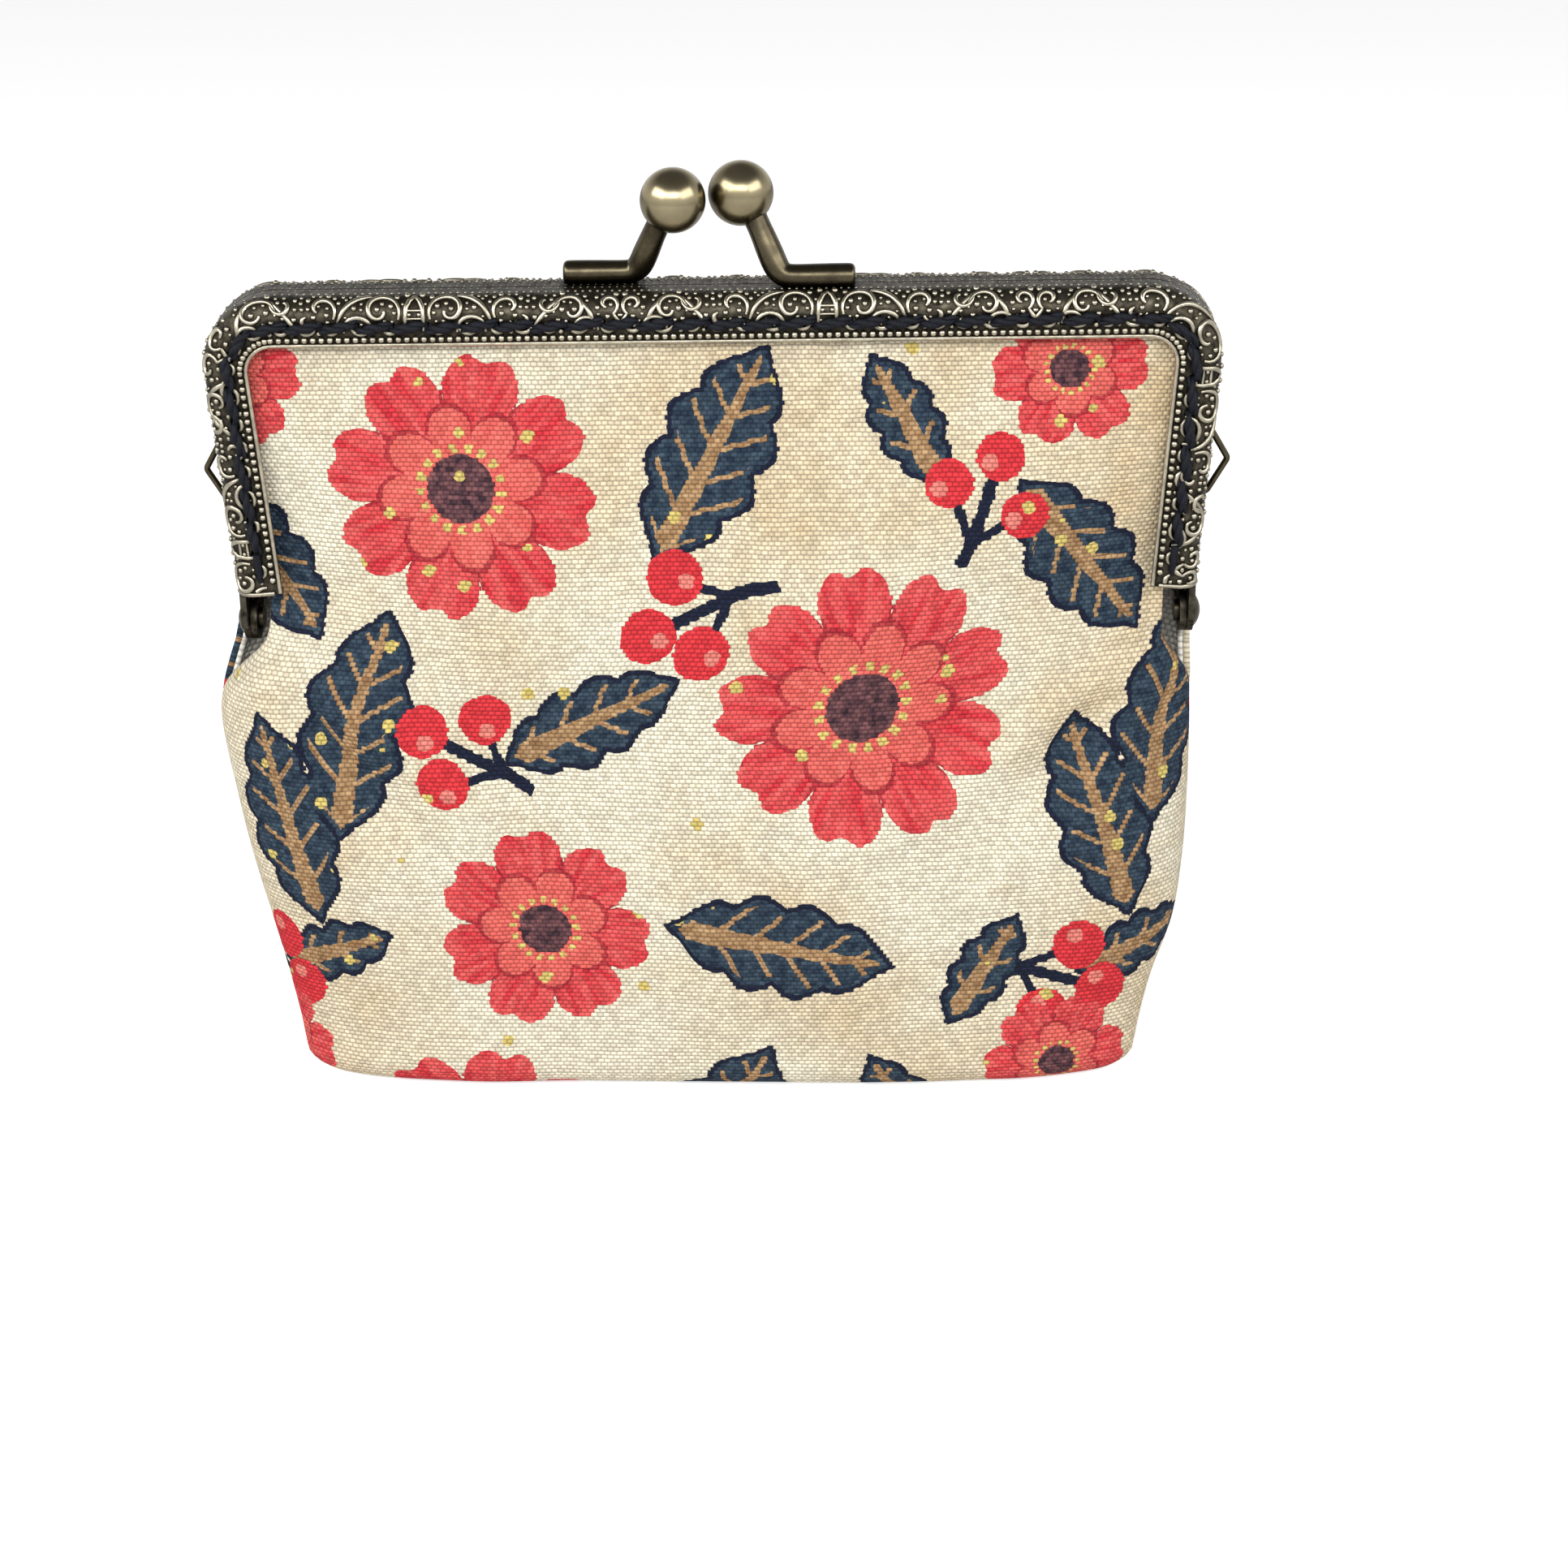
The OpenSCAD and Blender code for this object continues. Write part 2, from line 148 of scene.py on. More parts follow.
bpy.ops.object.select_all(action="DESELECT")
bpy.ops.mesh.primitive_plane_add(size=3, location=(0, 0, low.z))
paper = bpy.context.object
paper.name = "paper"
white = bpy.data.materials.new("white_paper")
white.use_nodes = True
tree = white.node_tree
tree.nodes["Principled BSDF"].inputs["Base Color"].default_value = (0.8, 0.8, 0.8, 1)
tree.nodes["Principled BSDF"].inputs["Roughness"].default_value = 0.9
tree.nodes["Principled BSDF"].inputs["Emission Color"].default_value = (1, 1, 1, 1)
rays = add_node(tree, "LightPath")
glow = add_node(tree, "MapRange", _3=0.0, _4=0.60)
tree.links.new(rays.outputs["Is Camera Ray"], glow.inputs["Value"])
tree.links.new(glow.outputs[0], tree.nodes["Principled BSDF"].inputs["Emission Strength"])
paper.data.materials.append(white)

# ---------------------------------------------------------------------------
# Frame halves: brass strip rolled to a channel and bent round into a U, then
# darkened in a bath and rubbed back, so that only what stands proud is bright.
# ---------------------------------------------------------------------------
patina = bpy.data.node_groups.new("patina", "ShaderNodeTree")
for name, kind in (("Bright", "Color"), ("Dark", "Color"), ("Scale", "Float"), ("Rubbed", "Float"),
                   ("Recess", "Float"), ("Matt", "Float"), ("Polished", "Float")):
    patina.interface.new_socket(name, in_out="INPUT", socket_type="NodeSocket" + kind)
for name, kind in (("Color", "Color"), ("Roughness", "Float"), ("Height", "Float")):
    patina.interface.new_socket(name, in_out="OUTPUT", socket_type="NodeSocket" + kind)
given, put = patina.nodes.new("NodeGroupInput"), patina.nodes.new("NodeGroupOutput")
place = add_node(patina, "TexCoord")
blotches = add_node(patina, "TexNoise", Detail=5.0, Roughness=0.6)
patina.links.new(place.outputs["Object"], blotches.inputs["Vector"])
patina.links.new(given.outputs["Scale"], blotches.inputs["Scale"])
finer = add_node(patina, "Math", operation="MULTIPLY", _1=5.0)
patina.links.new(given.outputs["Scale"], finer.inputs[0])
grain = add_node(patina, "TexNoise", Detail=3.0, Roughness=0.7)
patina.links.new(place.outputs["Object"], grain.inputs["Vector"])
patina.links.new(finer.outputs[0], grain.inputs["Scale"])
open_to_rub = add_node(patina, "AmbientOcclusion", samples=6)
patina.links.new(given.outputs["Recess"], open_to_rub.inputs["Distance"])
proud = add_node(patina, "Math", operation="POWER", _1=2.8)
patina.links.new(open_to_rub.outputs["AO"], proud.inputs[0])
spread = add_node(patina, "MapRange", _1=0.30, _2=0.70, _3=-0.28, _4=0.28)
patina.links.new(blotches.outputs["Fac"], spread.inputs["Value"])
worn = add_node(patina, "Math", operation="ADD")
patina.links.new(given.outputs["Rubbed"], worn.inputs[0])
patina.links.new(spread.outputs[0], worn.inputs[1])
shown = add_node(patina, "Math", operation="MULTIPLY", use_clamp=True)
patina.links.new(worn.outputs[0], shown.inputs[0])
patina.links.new(proud.outputs[0], shown.inputs[1])
tone = add_node(patina, "Mix", data_type="RGBA")
patina.links.new(shown.outputs[0], tone.inputs["Factor"])
patina.links.new(given.outputs["Dark"], tone.inputs[6])
patina.links.new(given.outputs["Bright"], tone.inputs[7])
patina.links.new(tone.outputs[2], put.inputs["Color"])
matt = add_node(patina, "MapRange")
patina.links.new(shown.outputs[0], matt.inputs["Value"])
patina.links.new(given.outputs["Matt"], matt.inputs["To Min"])
patina.links.new(given.outputs["Polished"], matt.inputs["To Max"])
patina.links.new(matt.outputs[0], put.inputs["Roughness"])
patina.links.new(grain.outputs["Fac"], put.inputs["Height"])


def brass(name, bright, dark, rubbed, scale=900.0, recess=0.0008, bump=0.15, matt=0.52, polished=0.26):
    """Antiqued brass, rubbed back by the given share."""
    made = bpy.data.materials.new(name)
    made.use_nodes = True
    tree = made.node_tree
    shader = tree.nodes["Principled BSDF"]
    shader.inputs["Metallic"].default_value = 1.0
    finish = add_node(tree, "Group")
    finish.node_tree = patina
    for key, value in (("Bright", bright), ("Dark", dark), ("Scale", scale), ("Rubbed", rubbed),
                       ("Recess", recess), ("Matt", matt), ("Polished", polished)):
        finish.inputs[key].default_value = value
    tree.links.new(finish.outputs["Color"], shader.inputs["Base Color"])
    tree.links.new(finish.outputs["Roughness"], shader.inputs["Roughness"])
    dents = add_node(tree, "Bump", Strength=bump, Distance=0.0001)
    tree.links.new(finish.outputs["Height"], dents.inputs["Height"])
    tree.links.new(dents.outputs["Normal"], shader.inputs["Normal"])
    return made


dark_brass = brass("darkened_brass", (0.20, 0.178, 0.130, 1), (0.010, 0.008, 0.006, 1), 0.30)
for name in ("front_frame", "back_frame"):
    node = bpy.data.objects[name]
    node.data.materials.clear()
    node.data.materials.append(dark_brass)

# ---------------------------------------------------------------------------
# Embossing of the frame: rolled into the strip before it is bent, so it runs
# on along the band: dots by the parting edge, scrolls on the roll, and pearls
# along the inner edge. Rubbing has left it bright.
# ---------------------------------------------------------------------------
half_depth = -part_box("front_frame")[0][1]
hinge = Vector(frame["joints"][0]["pos_m"])
corner_r, rim_r, lean = 0.009, 0.0027, math.radians(4.49)   # corner, roll, and the arms' slant
edge_gap = 0.0001                              # between a half and the parting plane
band_stop = 0.0054                             # the band ends this far above the hinge
corner_x, corner_z = half_w - corner_r, top_z - corner_r
arm_len = corner_z - hinge.z - band_stop
mid_inset = 0.003
bend_len = (corner_r - mid_inset) * (math.pi / 2 + lean)
band_end = corner_x + bend_len + arm_len


def on_outline(s, inset):
    """Point (x, z) at a distance s along the U from its middle, and its outward direction."""
    side, s = (1 if s >= 0 else -1), abs(s)
    if s <= corner_x:
        return side * s, top_z - inset, 0.0, 1.0
    turned = min(1.0, (s - corner_x) / bend_len) * (math.pi / 2 + lean)
    out_x, out_z = math.sin(turned), math.cos(turned)
    down = max(0.0, s - corner_x - bend_len)
    x = corner_x + (corner_r - inset) * out_x - down * math.sin(lean)
    z = corner_z + (corner_r - inset) * out_z - down * math.cos(lean)
    return side * x, z, side * out_x, out_z


flat_top = half_depth - rim_r - edge_gap
roll_len = rim_r * math.pi / 2


def on_band(half, s, across, lift=0.0):
    """Point on a half's band: across is measured from the parting edge over the roll
    and down the face. half is -1 for the front and 1 for the back."""
    if across <= flat_top:
        inset, out, forth, depth = 0.0, 1.0, 0.0, edge_gap + across
    elif across <= flat_top + roll_len:
        a = (across - flat_top) / rim_r
        inset, out, forth = rim_r * (1 - math.cos(a)), math.cos(a), math.sin(a)
        depth = half_depth - rim_r + rim_r * math.sin(a)
    else:
        inset, out, forth, depth = rim_r + across - flat_top - roll_len, 0.0, 1.0, half_depth
    x, z, out_x, out_z = on_outline(s, inset)
    return Vector((x + out_x * out * lift, half * (depth + forth * lift), z + out_z * out * lift))


def put_in_scene(name, data):
    """An object for the data, alone in the selection."""
    made = bpy.data.objects.new(name, data)
    bpy.context.collection.objects.link(made)
    bpy.ops.object.select_all(action="DESELECT")
    made.select_set(True)
    bpy.context.view_layer.objects.active = made
    return made


def round_line(name, radius, sides):
    """An empty curve with a round section and closed ends."""
    line = bpy.data.curves.new(name, "CURVE")
    line.dimensions = "3D"
    line.bevel_depth, line.bevel_resolution = radius, sides
    line.use_fill_caps = True
    return line


def wire_piece(name, runs, radius, sides=1):
    """Round wire along each run of (point, thickness factor), as one mesh."""
    line = round_line(name, radius, sides)
    for run in runs:
        spline = line.splines.new("POLY")
        spline.points.add(len(run) - 1)
        for at, (place, thick) in zip(spline.points, run):
            at.co = (*place, 1)
            at.radius = thick
    put_in_scene(name, line)
    bpy.ops.object.convert(target="MESH")
    bpy.ops.object.shade_smooth()
    return bpy.context.object


def stud_piece(name, places, detail=2):
    """One small ball for each (centre, radius), as one mesh."""
    bpy.ops.object.select_all(action="DESELECT")
    bpy.ops.mesh.primitive_ico_sphere_add(subdivisions=detail, radius=1)
    made = bpy.context.object
    made.name = name
    ball = [v.co.copy() for v in made.data.vertices]
    faces = [tuple(f.vertices) for f in made.data.polygons]
    verts, polys = [], []
    for centre, r in places:
        start = len(verts)
        verts += [centre + v * r for v in ball]
        polys += [tuple(start + i for i in f) for f in faces]
    made.data.clear_geometry()
    made.data.from_pydata(verts, [], polys)
    bpy.ops.object.shade_smooth()
    return made


rubbed_brass = brass("rubbed_brass", (0.58, 0.53, 0.41, 1), (0.020, 0.016, 0.011, 1), 0.85, recess=0.0006)

cell = 0.02513                                 # the die's repeat is two of these, mirrored
scroll_top = flat_top + 0.0004


def scroll(a, b, r_from, r_to, turn_from, turn_to, steps=20):
    """A curl in the die's plane, in millimetres and degrees, with the radius easing in."""
    points = []
    for i in range(steps + 1):
        t = i / steps
        r = r_from + (r_to - r_from) * t
        angle = math.radians(turn_from + (turn_to - turn_from) * t)
        points.append((a + r * math.cos(angle), b - r * math.sin(angle)))
    return points


strokes = [
    scroll(4.2, 2.5, 2.5, 0.5, 205, -170, 26),
    scroll(4.6, 5.0, 4.6, 4.9, 82, 12, 12),
    scroll(7.0, 5.0, 1.8, 1.7, 185, -5, 12),
    scroll(11.5, 2.3, 2.0, 0.5, 215, -40, 18),
    scroll(13.0, 3.6, 1.4, 0.5, 190, 420, 14),
    [(14.4, 4.9), (15.4, 3.6), (16.6, 2.2), (17.6, 1.2)],
    scroll(19.2, 2.6, 2.2, 0.5, 190, -150, 24),
    scroll(17.6, 5.6, 4.8, 4.4, 62, 8, 12),
    scroll(16.2, 1.7, 1.5, 0.4, 20, -250, 14),
    scroll(21.0, 5.0, 1.5, 1.4, 185, -5, 12),
    scroll(23.6, 2.0, 1.4, 0.4, -60, 250, 18),
    [(24.3, 3.2), (24.8, 4.0), (25.4, 4.7)],
    [(0.0, 0.5), (0.6, 1.2), (1.0, 2.1), (1.1, 3.4), (1.1, 5.0)],
    [(0.0, 2.5), (1.1, 2.5)],
    [(0.0, 3.5), (1.1, 3.5)],
    scroll(3.0, 4.35, 0.95, 0.95, -155, -25, 8),
    scroll(6.6, 4.05, 1.35, 1.30, -150, -30, 8),
    scroll(10.2, 4.40, 0.90, 0.90, -155, -25, 8),
    scroll(13.3, 4.10, 1.25, 1.20, -150, -30, 8),
    scroll(16.4, 4.40, 0.90, 0.90, -155, -25, 8),
    scroll(20.0, 4.00, 1.40, 1.35, -150, -30, 8),
    scroll(23.6, 4.40, 0.90, 0.90, -155, -25, 8),
]
random.seed(7)
dots = []
for _ in range(2500):
    a, b = random.uniform(0.3, 25.1), random.uniform(0.2, 5.3)
    r = random.choice((0.24, 0.30, 0.36, 0.40))
    clear = min(math.hypot(a - p[0], b - p[1]) for line in strokes for p in line)
    spaced = min((math.hypot(a - d[0], b - d[1]) - d[2] for d in dots), default=9)
    if clear > r + 0.30 and spaced > r + 0.16:
        dots.append((a, b, r))

pattern_start = 0.0145                         # where an arch of the die falls
for half, body, name in ((-1, "front_half", "front"), (1, "back_half", "back")):
    runs, studs = [], []
    first = math.floor((-band_end - pattern_start) / cell)
    last = math.ceil((band_end - pattern_start) / cell)
    for k in range(first, last):
        def to_s(a, k=k):
            return pattern_start + (k * cell + a / 1000 if k % 2 == 0 else (k + 1) * cell - a / 1000)
        for line in strokes:
            run = []
            for i, (a, b) in enumerate(line):
                t = i / (len(line) - 1)
                s = to_s(a)
                if abs(s) < band_end - 0.0004:
                    thick = 0.65 + 0.5 * math.sin(math.pi * t)
                    run.append((on_band(half, s, scroll_top + b / 1000, 0.00004), thick))
            if len(run) > 2:
                runs.append(run)
            elif len(run) == 2 and len(line) == 2:
                runs.append(run)
        for a, b, r in dots:
            if abs(to_s(a)) < band_end - 0.0006:
                studs.append((on_band(half, to_s(a), scroll_top + b / 1000, 0.0), r / 1000))
    pearl_pitch, pearl_r = 0.00105, 0.00044
    for i in range(-int(band_end / pearl_pitch) + 1, int(band_end / pearl_pitch)):
        studs.append((on_band(half, i * pearl_pitch, flat_top + roll_len + 0.0022, 0.00008), pearl_r))
    dot_pitch, dot_r = 0.00090, 0.00020
    for i in range(-int(band_end / dot_pitch) + 1, int(band_end / dot_pitch)):
        studs.append((on_band(half, i * dot_pitch, flat_top - 0.0003), dot_r))
        studs.append((on_band(half, (i + 0.5) * dot_pitch, 0.0005, -0.00006), dot_r * 0.8))
    rim_steps = 160
    for across, thick in ((flat_top + roll_len + 0.00290, 0.95),):
        runs.append([(on_band(half, band_end * (2 * i / rim_steps - 1) * 0.998, across), thick)
                     for i in range(rim_steps + 1)])
    for s in (-band_end + 0.0002, band_end - 0.0002):
        runs.append([(on_band(half, s, flat_top * 0.6 + i * 0.0005), 1.0) for i in range(16)])
    relief = wire_piece(name + "_scrollwork", runs, 0.00032)
    relief.data.materials.append(rubbed_brass)
    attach(relief, body)
    pearls = stud_piece(name + "_pearls_and_dots", studs)
    pearls.data.materials.append(rubbed_brass)
    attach(pearls, body)

# ---------------------------------------------------------------------------
# Rivets, clasp and chain loops: turned and drawn brass. The balls are tumbled
# to a satin shine, and the posts and the wire are left dark.
# ---------------------------------------------------------------------------
satin_brass = brass("satin_brass", (0.37, 0.315, 0.195, 1), (0.12, 0.098, 0.058, 1), 0.80, scale=200.0,
                    recess=0.004, bump=0.05, matt=0.30, polished=0.22)
post_brass = brass("post_brass", (0.15, 0.125, 0.075, 1), (0.022, 0.018, 0.014, 1), 0.50, scale=420.0,
                   recess=0.002, bump=0.10, matt=0.36, polished=0.20)
for name, material in (("left_rivet", post_brass), ("right_rivet", post_brass),
                       ("left_clasp_ball", satin_brass), ("right_clasp_ball", satin_brass),
                       ("left_chain_loop", post_brass), ("right_chain_loop", post_brass)):
    node = bpy.data.objects[name]
    node.data.materials.clear()
    node.data.materials.append(material)

# ---------------------------------------------------------------------------
# Clasp posts: cast brass, each with a foot that is soldered along the top of
# its half and a neck that swells, leans across the parting line and carries
# the ball of the other side.
# ---------------------------------------------------------------------------
post_r = 0.00135
ball_low, ball_high = (Vector(corner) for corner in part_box("right_clasp_ball"))
ball_at = (ball_low + ball_high) / 2
foot_y, foot_z = -0.0015, top_z + post_r * 0.95
# Distance out from the ball's centre line, height above the foot, and thickness, in millimetres
post_line = [(13.85, 0.0, 0.72), (13.77, 0.0, 0.98), (13.5, 0.0, 1.12), (13.1, 0.0, 1.16), (10.6, 0.0, 1.15),
             (8.0, 0.0, 1.12), (6.3, 0.0, 1.10), (5.35, 0.10, 1.10), (4.65, 0.55, 1.14), (4.15, 1.3, 1.18),
             (3.7, 2.35, 1.20), (3.2, 3.5, 1.17), (2.7, 4.7, 1.12), (2.15, 5.9, 1.08), (1.6, 7.1, 1.10),
             (1.1, 8.4, 1.15)]
for side, body, name in ((1, "front_half", "right"), (-1, "back_half", "left")):
    line = round_line(name + "_post", post_r, 8)
    spline = line.splines.new("NURBS")
    spline.points.add(len(post_line) - 1)
    spline.order_u, spline.use_endpoint_u, spline.resolution_u = 4, True, 5
    for at, (out, up, thick) in zip(spline.points, post_line):
        lean_over = up / 1000 / (ball_at.z - foot_z)
        at.co = (side * (ball_at.x + out / 1000), side * (foot_y + (ball_at.y - foot_y) * lean_over),
                 foot_z + up / 1000, 1)
        at.radius = thick
    put_in_scene(name + "_post", line)
    bpy.ops.object.convert(target="MESH")
    post = bpy.context.object
    bpy.ops.object.shade_smooth()
    post.data.materials.append(post_brass)
    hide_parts(name + "_clasp_post")
    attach(post, body)

# ---------------------------------------------------------------------------
# Stitching: thick navy thread of two plies, sewn through the frame's holes in
# a backstitch that dips into each hole.
# ---------------------------------------------------------------------------
hole_pitch, sew_inset, sew_end = 0.0043, 0.0034, 0.0022
sew_bend = (corner_r - sew_inset) * (math.pi / 2 + lean)
holes = int((corner_x + sew_bend + arm_len - sew_end) / hole_pitch)


def on_sewing_line(s):
    """Point (x, z) on the line of holes, s along it from the middle."""
    near = abs(s)
    if near > corner_x:
        near = corner_x + (near - corner_x) * bend_len / sew_bend if near < corner_x + sew_bend \
            else near - sew_bend + bend_len
    x, z, out_x, out_z = on_outline(math.copysign(near, s), sew_inset)
    return Vector((x, 0, z)), Vector((out_x, 0, out_z))


def stitch_run(half, surface, outward, first, last, fat):
    """The two plies of every stitch between the holes first and last."""
    runs = []
    random.seed(11)
    for i in range(first, last):
        wander = random.uniform(-0.00012, 0.00012)
        for ply in (0, 1):
            run = []
            for k in range(15):
                q = k / 14
                at, out = on_sewing_line((i - 0.06 + 1.12 * q) * hole_pitch)
                rise = fat * (1.9 * math.sin(math.pi * q) ** 0.45 - 0.75)
                twist = math.pi * (2.6 * q + ply) + i
                at += out * (fat * 0.62 * math.cos(twist) + wander + 0.0009 * (q - 0.45))
                at.y = half * (surface + outward * (rise + fat * 0.52 * math.sin(twist)))
                fullness = 0.44 + 0.74 * math.sin(math.pi * q) ** 0.8
                run.append((at, fullness + 0.10 * math.sin(7 * q + i)))
            runs.append(run)
    return runs


last_hole = bend_len + holes * hole_pitch - sew_bend

thread_blue = bpy.data.materials.new("navy_thread")
thread_blue.use_nodes = True
tree = thread_blue.node_tree
shader = tree.nodes["Principled BSDF"]
shader.inputs["Roughness"].default_value = 0.6
shader.inputs["Specular IOR Level"].default_value = 0.22
place = add_node(tree, "TexCoord")
fibres = add_node(tree, "TexNoise", Scale=5200.0, Detail=3.0, Roughness=0.7)
tree.links.new(place.outputs["Object"], fibres.inputs["Vector"])
blues = add_node(tree, "ValToRGB")
blues.color_ramp.elements[0].position, blues.color_ramp.elements[0].color = 0.35, (0.0004, 0.0005, 0.0010, 1)
blues.color_ramp.elements[1].position, blues.color_ramp.elements[1].color = 0.75, (0.0085, 0.0110, 0.0220, 1)
tree.links.new(fibres.outputs["Fac"], blues.inputs["Fac"])
tree.links.new(blues.outputs["Color"], shader.inputs["Base Color"])
fuzz = add_node(tree, "Bump", Strength=0.6, Distance=0.00015)
tree.links.new(fibres.outputs["Fac"], fuzz.inputs["Height"])
tree.links.new(fuzz.outputs["Normal"], shader.inputs["Normal"])

for half, body, name in ((-1, "front_half", "front"), (1, "back_half", "back")):
    runs = stitch_run(half, half_depth, 1, -holes, holes, 0.00042)
    runs += stitch_run(half, 0.0013, -1, -holes, holes, 0.0003)
    for i in range(-holes, holes + 1):
        at, out = on_sewing_line(i * hole_pitch)
        through = (0.0014, 0.003, 0.0045, half_depth + 0.0002)
        runs.append([(Vector((at.x, half * y, at.z)), 0.9) for y in through])
    for side in (-1, 1):
        tail = []
        for k in range(9):
            at, out = on_sewing_line(side * (holes * hole_pitch + k / 8 * (band_end - 0.0018 - last_hole)))
            at.y = half * (half_depth + 0.00030 - 0.0003 * (k / 8) ** 3)
            tail.append((at, 1.25 - 0.5 * (k / 8) ** 3))
        runs.append(tail)
    thread = wire_piece(name + "_backstitch", runs, 0.00040, 2)
    thread.data.materials.append(thread_blue)
    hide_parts(name + "_stitching")
    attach(thread, body)

# ---------------------------------------------------------------------------
# Outer panels: printed plain-weave canvas, one for the front and one for the
# back, seamed up the sides to just below the hinges, boxed at the base and
# sewn into the frame's channel at the top.
# ---------------------------------------------------------------------------
def eased(h, table):
    """Value at h from a table of (h, value), smooth through its points."""
    for (h0, v0), (h1, v1) in zip(table, table[1:]):
        if h <= h1:
            t = max(0.0, (h - h0) / (h1 - h0))
            break
    else:
        return table[-1][1]
    i = table.index((h0, v0))
    before = table[max(0, i - 1)]
    after = table[min(len(table) - 1, i + 2)]
    slope0 = (v1 - before[1]) / (h1 - before[0])
    slope1 = (after[1] - v0) / (after[0] - h0)
    step = h1 - h0
    t2, t3 = t * t, t * t * t
    return ((2 * t3 - 3 * t2 + 1) * v0 + (t3 - 2 * t2 + t) * step * slope0
            + (3 * t2 - 2 * t3) * v1 + (t3 - t2) * step * slope1)


def smooth(t):
    t = min(1.0, max(0.0, t))
    return t * t * (3 - 2 * t)


panel_top = top_z - 0.0020
top_h = panel_top / hinge.z
# Half width, half depth in the middle, and depth of the side edge, against height / hinge height.
# The panels part below the hinges: the front one draws in there, the back one stands out.
low_widths = [(0.0, 0.0536), (0.06, 0.0545), (0.13, 0.0554), (0.22, 0.0568), (0.34, 0.0590), (0.48, 0.0606),
              (0.64, 0.0617), (0.78, 0.0623)]
arm_widths = [(1.08, 0.0562), (1.2, 0.0566), (1.5, 0.0583), (top_h, 0.0590)]
half_widths = {-1: low_widths + [(0.85, 0.0619), (0.89, 0.0606), (0.93, 0.0586), (0.97, 0.0568)] + arm_widths,
               1: low_widths + [(0.85, 0.0622), (0.89, 0.0619), (0.93, 0.0615), (0.99, 0.0610)] + arm_widths}
half_depths = [(0.0, 0.0150), (0.2, 0.0154), (0.46, 0.0155), (0.67, 0.0147), (0.83, 0.0135), (1.0, 0.0120),
               (1.12, 0.0106), (1.28, 0.0082), (1.44, 0.0059), (1.56, 0.0047), (top_h, 0.0042)]
edge_depths = [(0.0, 0.0), (0.80, 0.0), (0.86, 0.0008), (0.91, 0.0022), (0.96, 0.0031), (1.08, 0.0036),
               (top_h, 0.0041)]
squareness = [(0.0, 9.0), (0.12, 6.0), (0.3, 3.8), (0.6, 2.8), (1.0, 2.3), (top_h, 2.3)]
drifts = [(0.0, -0.0008), (0.2, -0.0006), (0.33, -0.0002), (0.46, -0.0006), (0.62, -0.0013), (0.8, -0.0020),
          (0.9, -0.0014), (1.0, -0.0003), (1.1, 0.0), (top_h, 0.0)]
base_edge = 0.0036
# Creases that run down and in from each hinge: slant, width and depth
creases = [(0.40, 0.0042, 0.0014), (0.85, 0.0038, 0.0012), (1.5, 0.0050, 0.0011)]


def fold(x, z, seed):
    """How far the slack cloth stands in or out at a place on the panel."""
    h = z / hinge.z
    free = smooth((1.52 - h) / 0.3)
    broad = noise.noise(Vector((x * 28, z * 30, seed))) * 0.0023
    small = noise.noise(Vector((x * 80, z * 55, seed + 5))) * 0.0006
    side = abs(x) / 0.060
    pull = 0.0
    for k, (slant, width, depth) in enumerate(creases):
        away = (0.057 - abs(x)) - slant * (hinge.z * 0.97 - z)
        reach = smooth((hinge.z * 0.97 - z) / 0.006) * smooth((z - 0.022) / 0.03)
        pull += depth * math.exp(-(away / width) ** 2) * reach * (1 if (k + seed) % 2 else -1)
    corner = smooth((side - 0.62) / 0.3) * smooth((0.30 - h) / 0.2) * 0.0012
    return free * (broad + small + pull) - corner * smooth(h / 0.06)


def panel_point(theta, z, half, inset, seed):
    """Point of a panel's wall: theta runs from the right seam to the left one."""
    h = z / hinge.z
    w, d, e = eased(h, half_widths[half]), eased(h, half_depths), max(0.0, eased(h, edge_depths))
    n = eased(h, squareness)
    pouch = smooth((1.14 - h) / 0.28)
    c, s = math.cos(theta), math.sin(theta)
    round_x = math.copysign(abs(c) ** (2 / n), c)
    flat_x = c * (1.0 + 0.12 * s * s)
    x = round_x * pouch + flat_x * (1 - pouch)
    bulge = abs(s) ** (2 / n) * pouch + (1 - min(1.0, abs(x)) ** 3.0) * (1 - pouch)
    sag = fold(w * x, z, seed) * smooth(s / 0.35)
    top_corner = math.sqrt(max(0.0, 1 - max(0.0, (z - corner_z) / (corner_r - 0.0006)) ** 2))
    w -= 0.0007 * max(0.0, 1 - s / 0.06) * smooth((0.84 - h) / 0.05)
    w = min(w, corner_x + (corner_r - 0.0008) * top_corner) if z > corner_z else w
    # the inner layer follows the outer one at a fixed distance, and is as wide as it at the top
    inset_x = inset * smooth((1.62 - h) / 0.12)
    inset_y = inset * (0.35 + 0.65 * bulge ** 0.5)
    return Vector(((w - inset_x) * x + eased(h, drifts), half * (e + (d - e) * bulge + sag - inset_y), z))


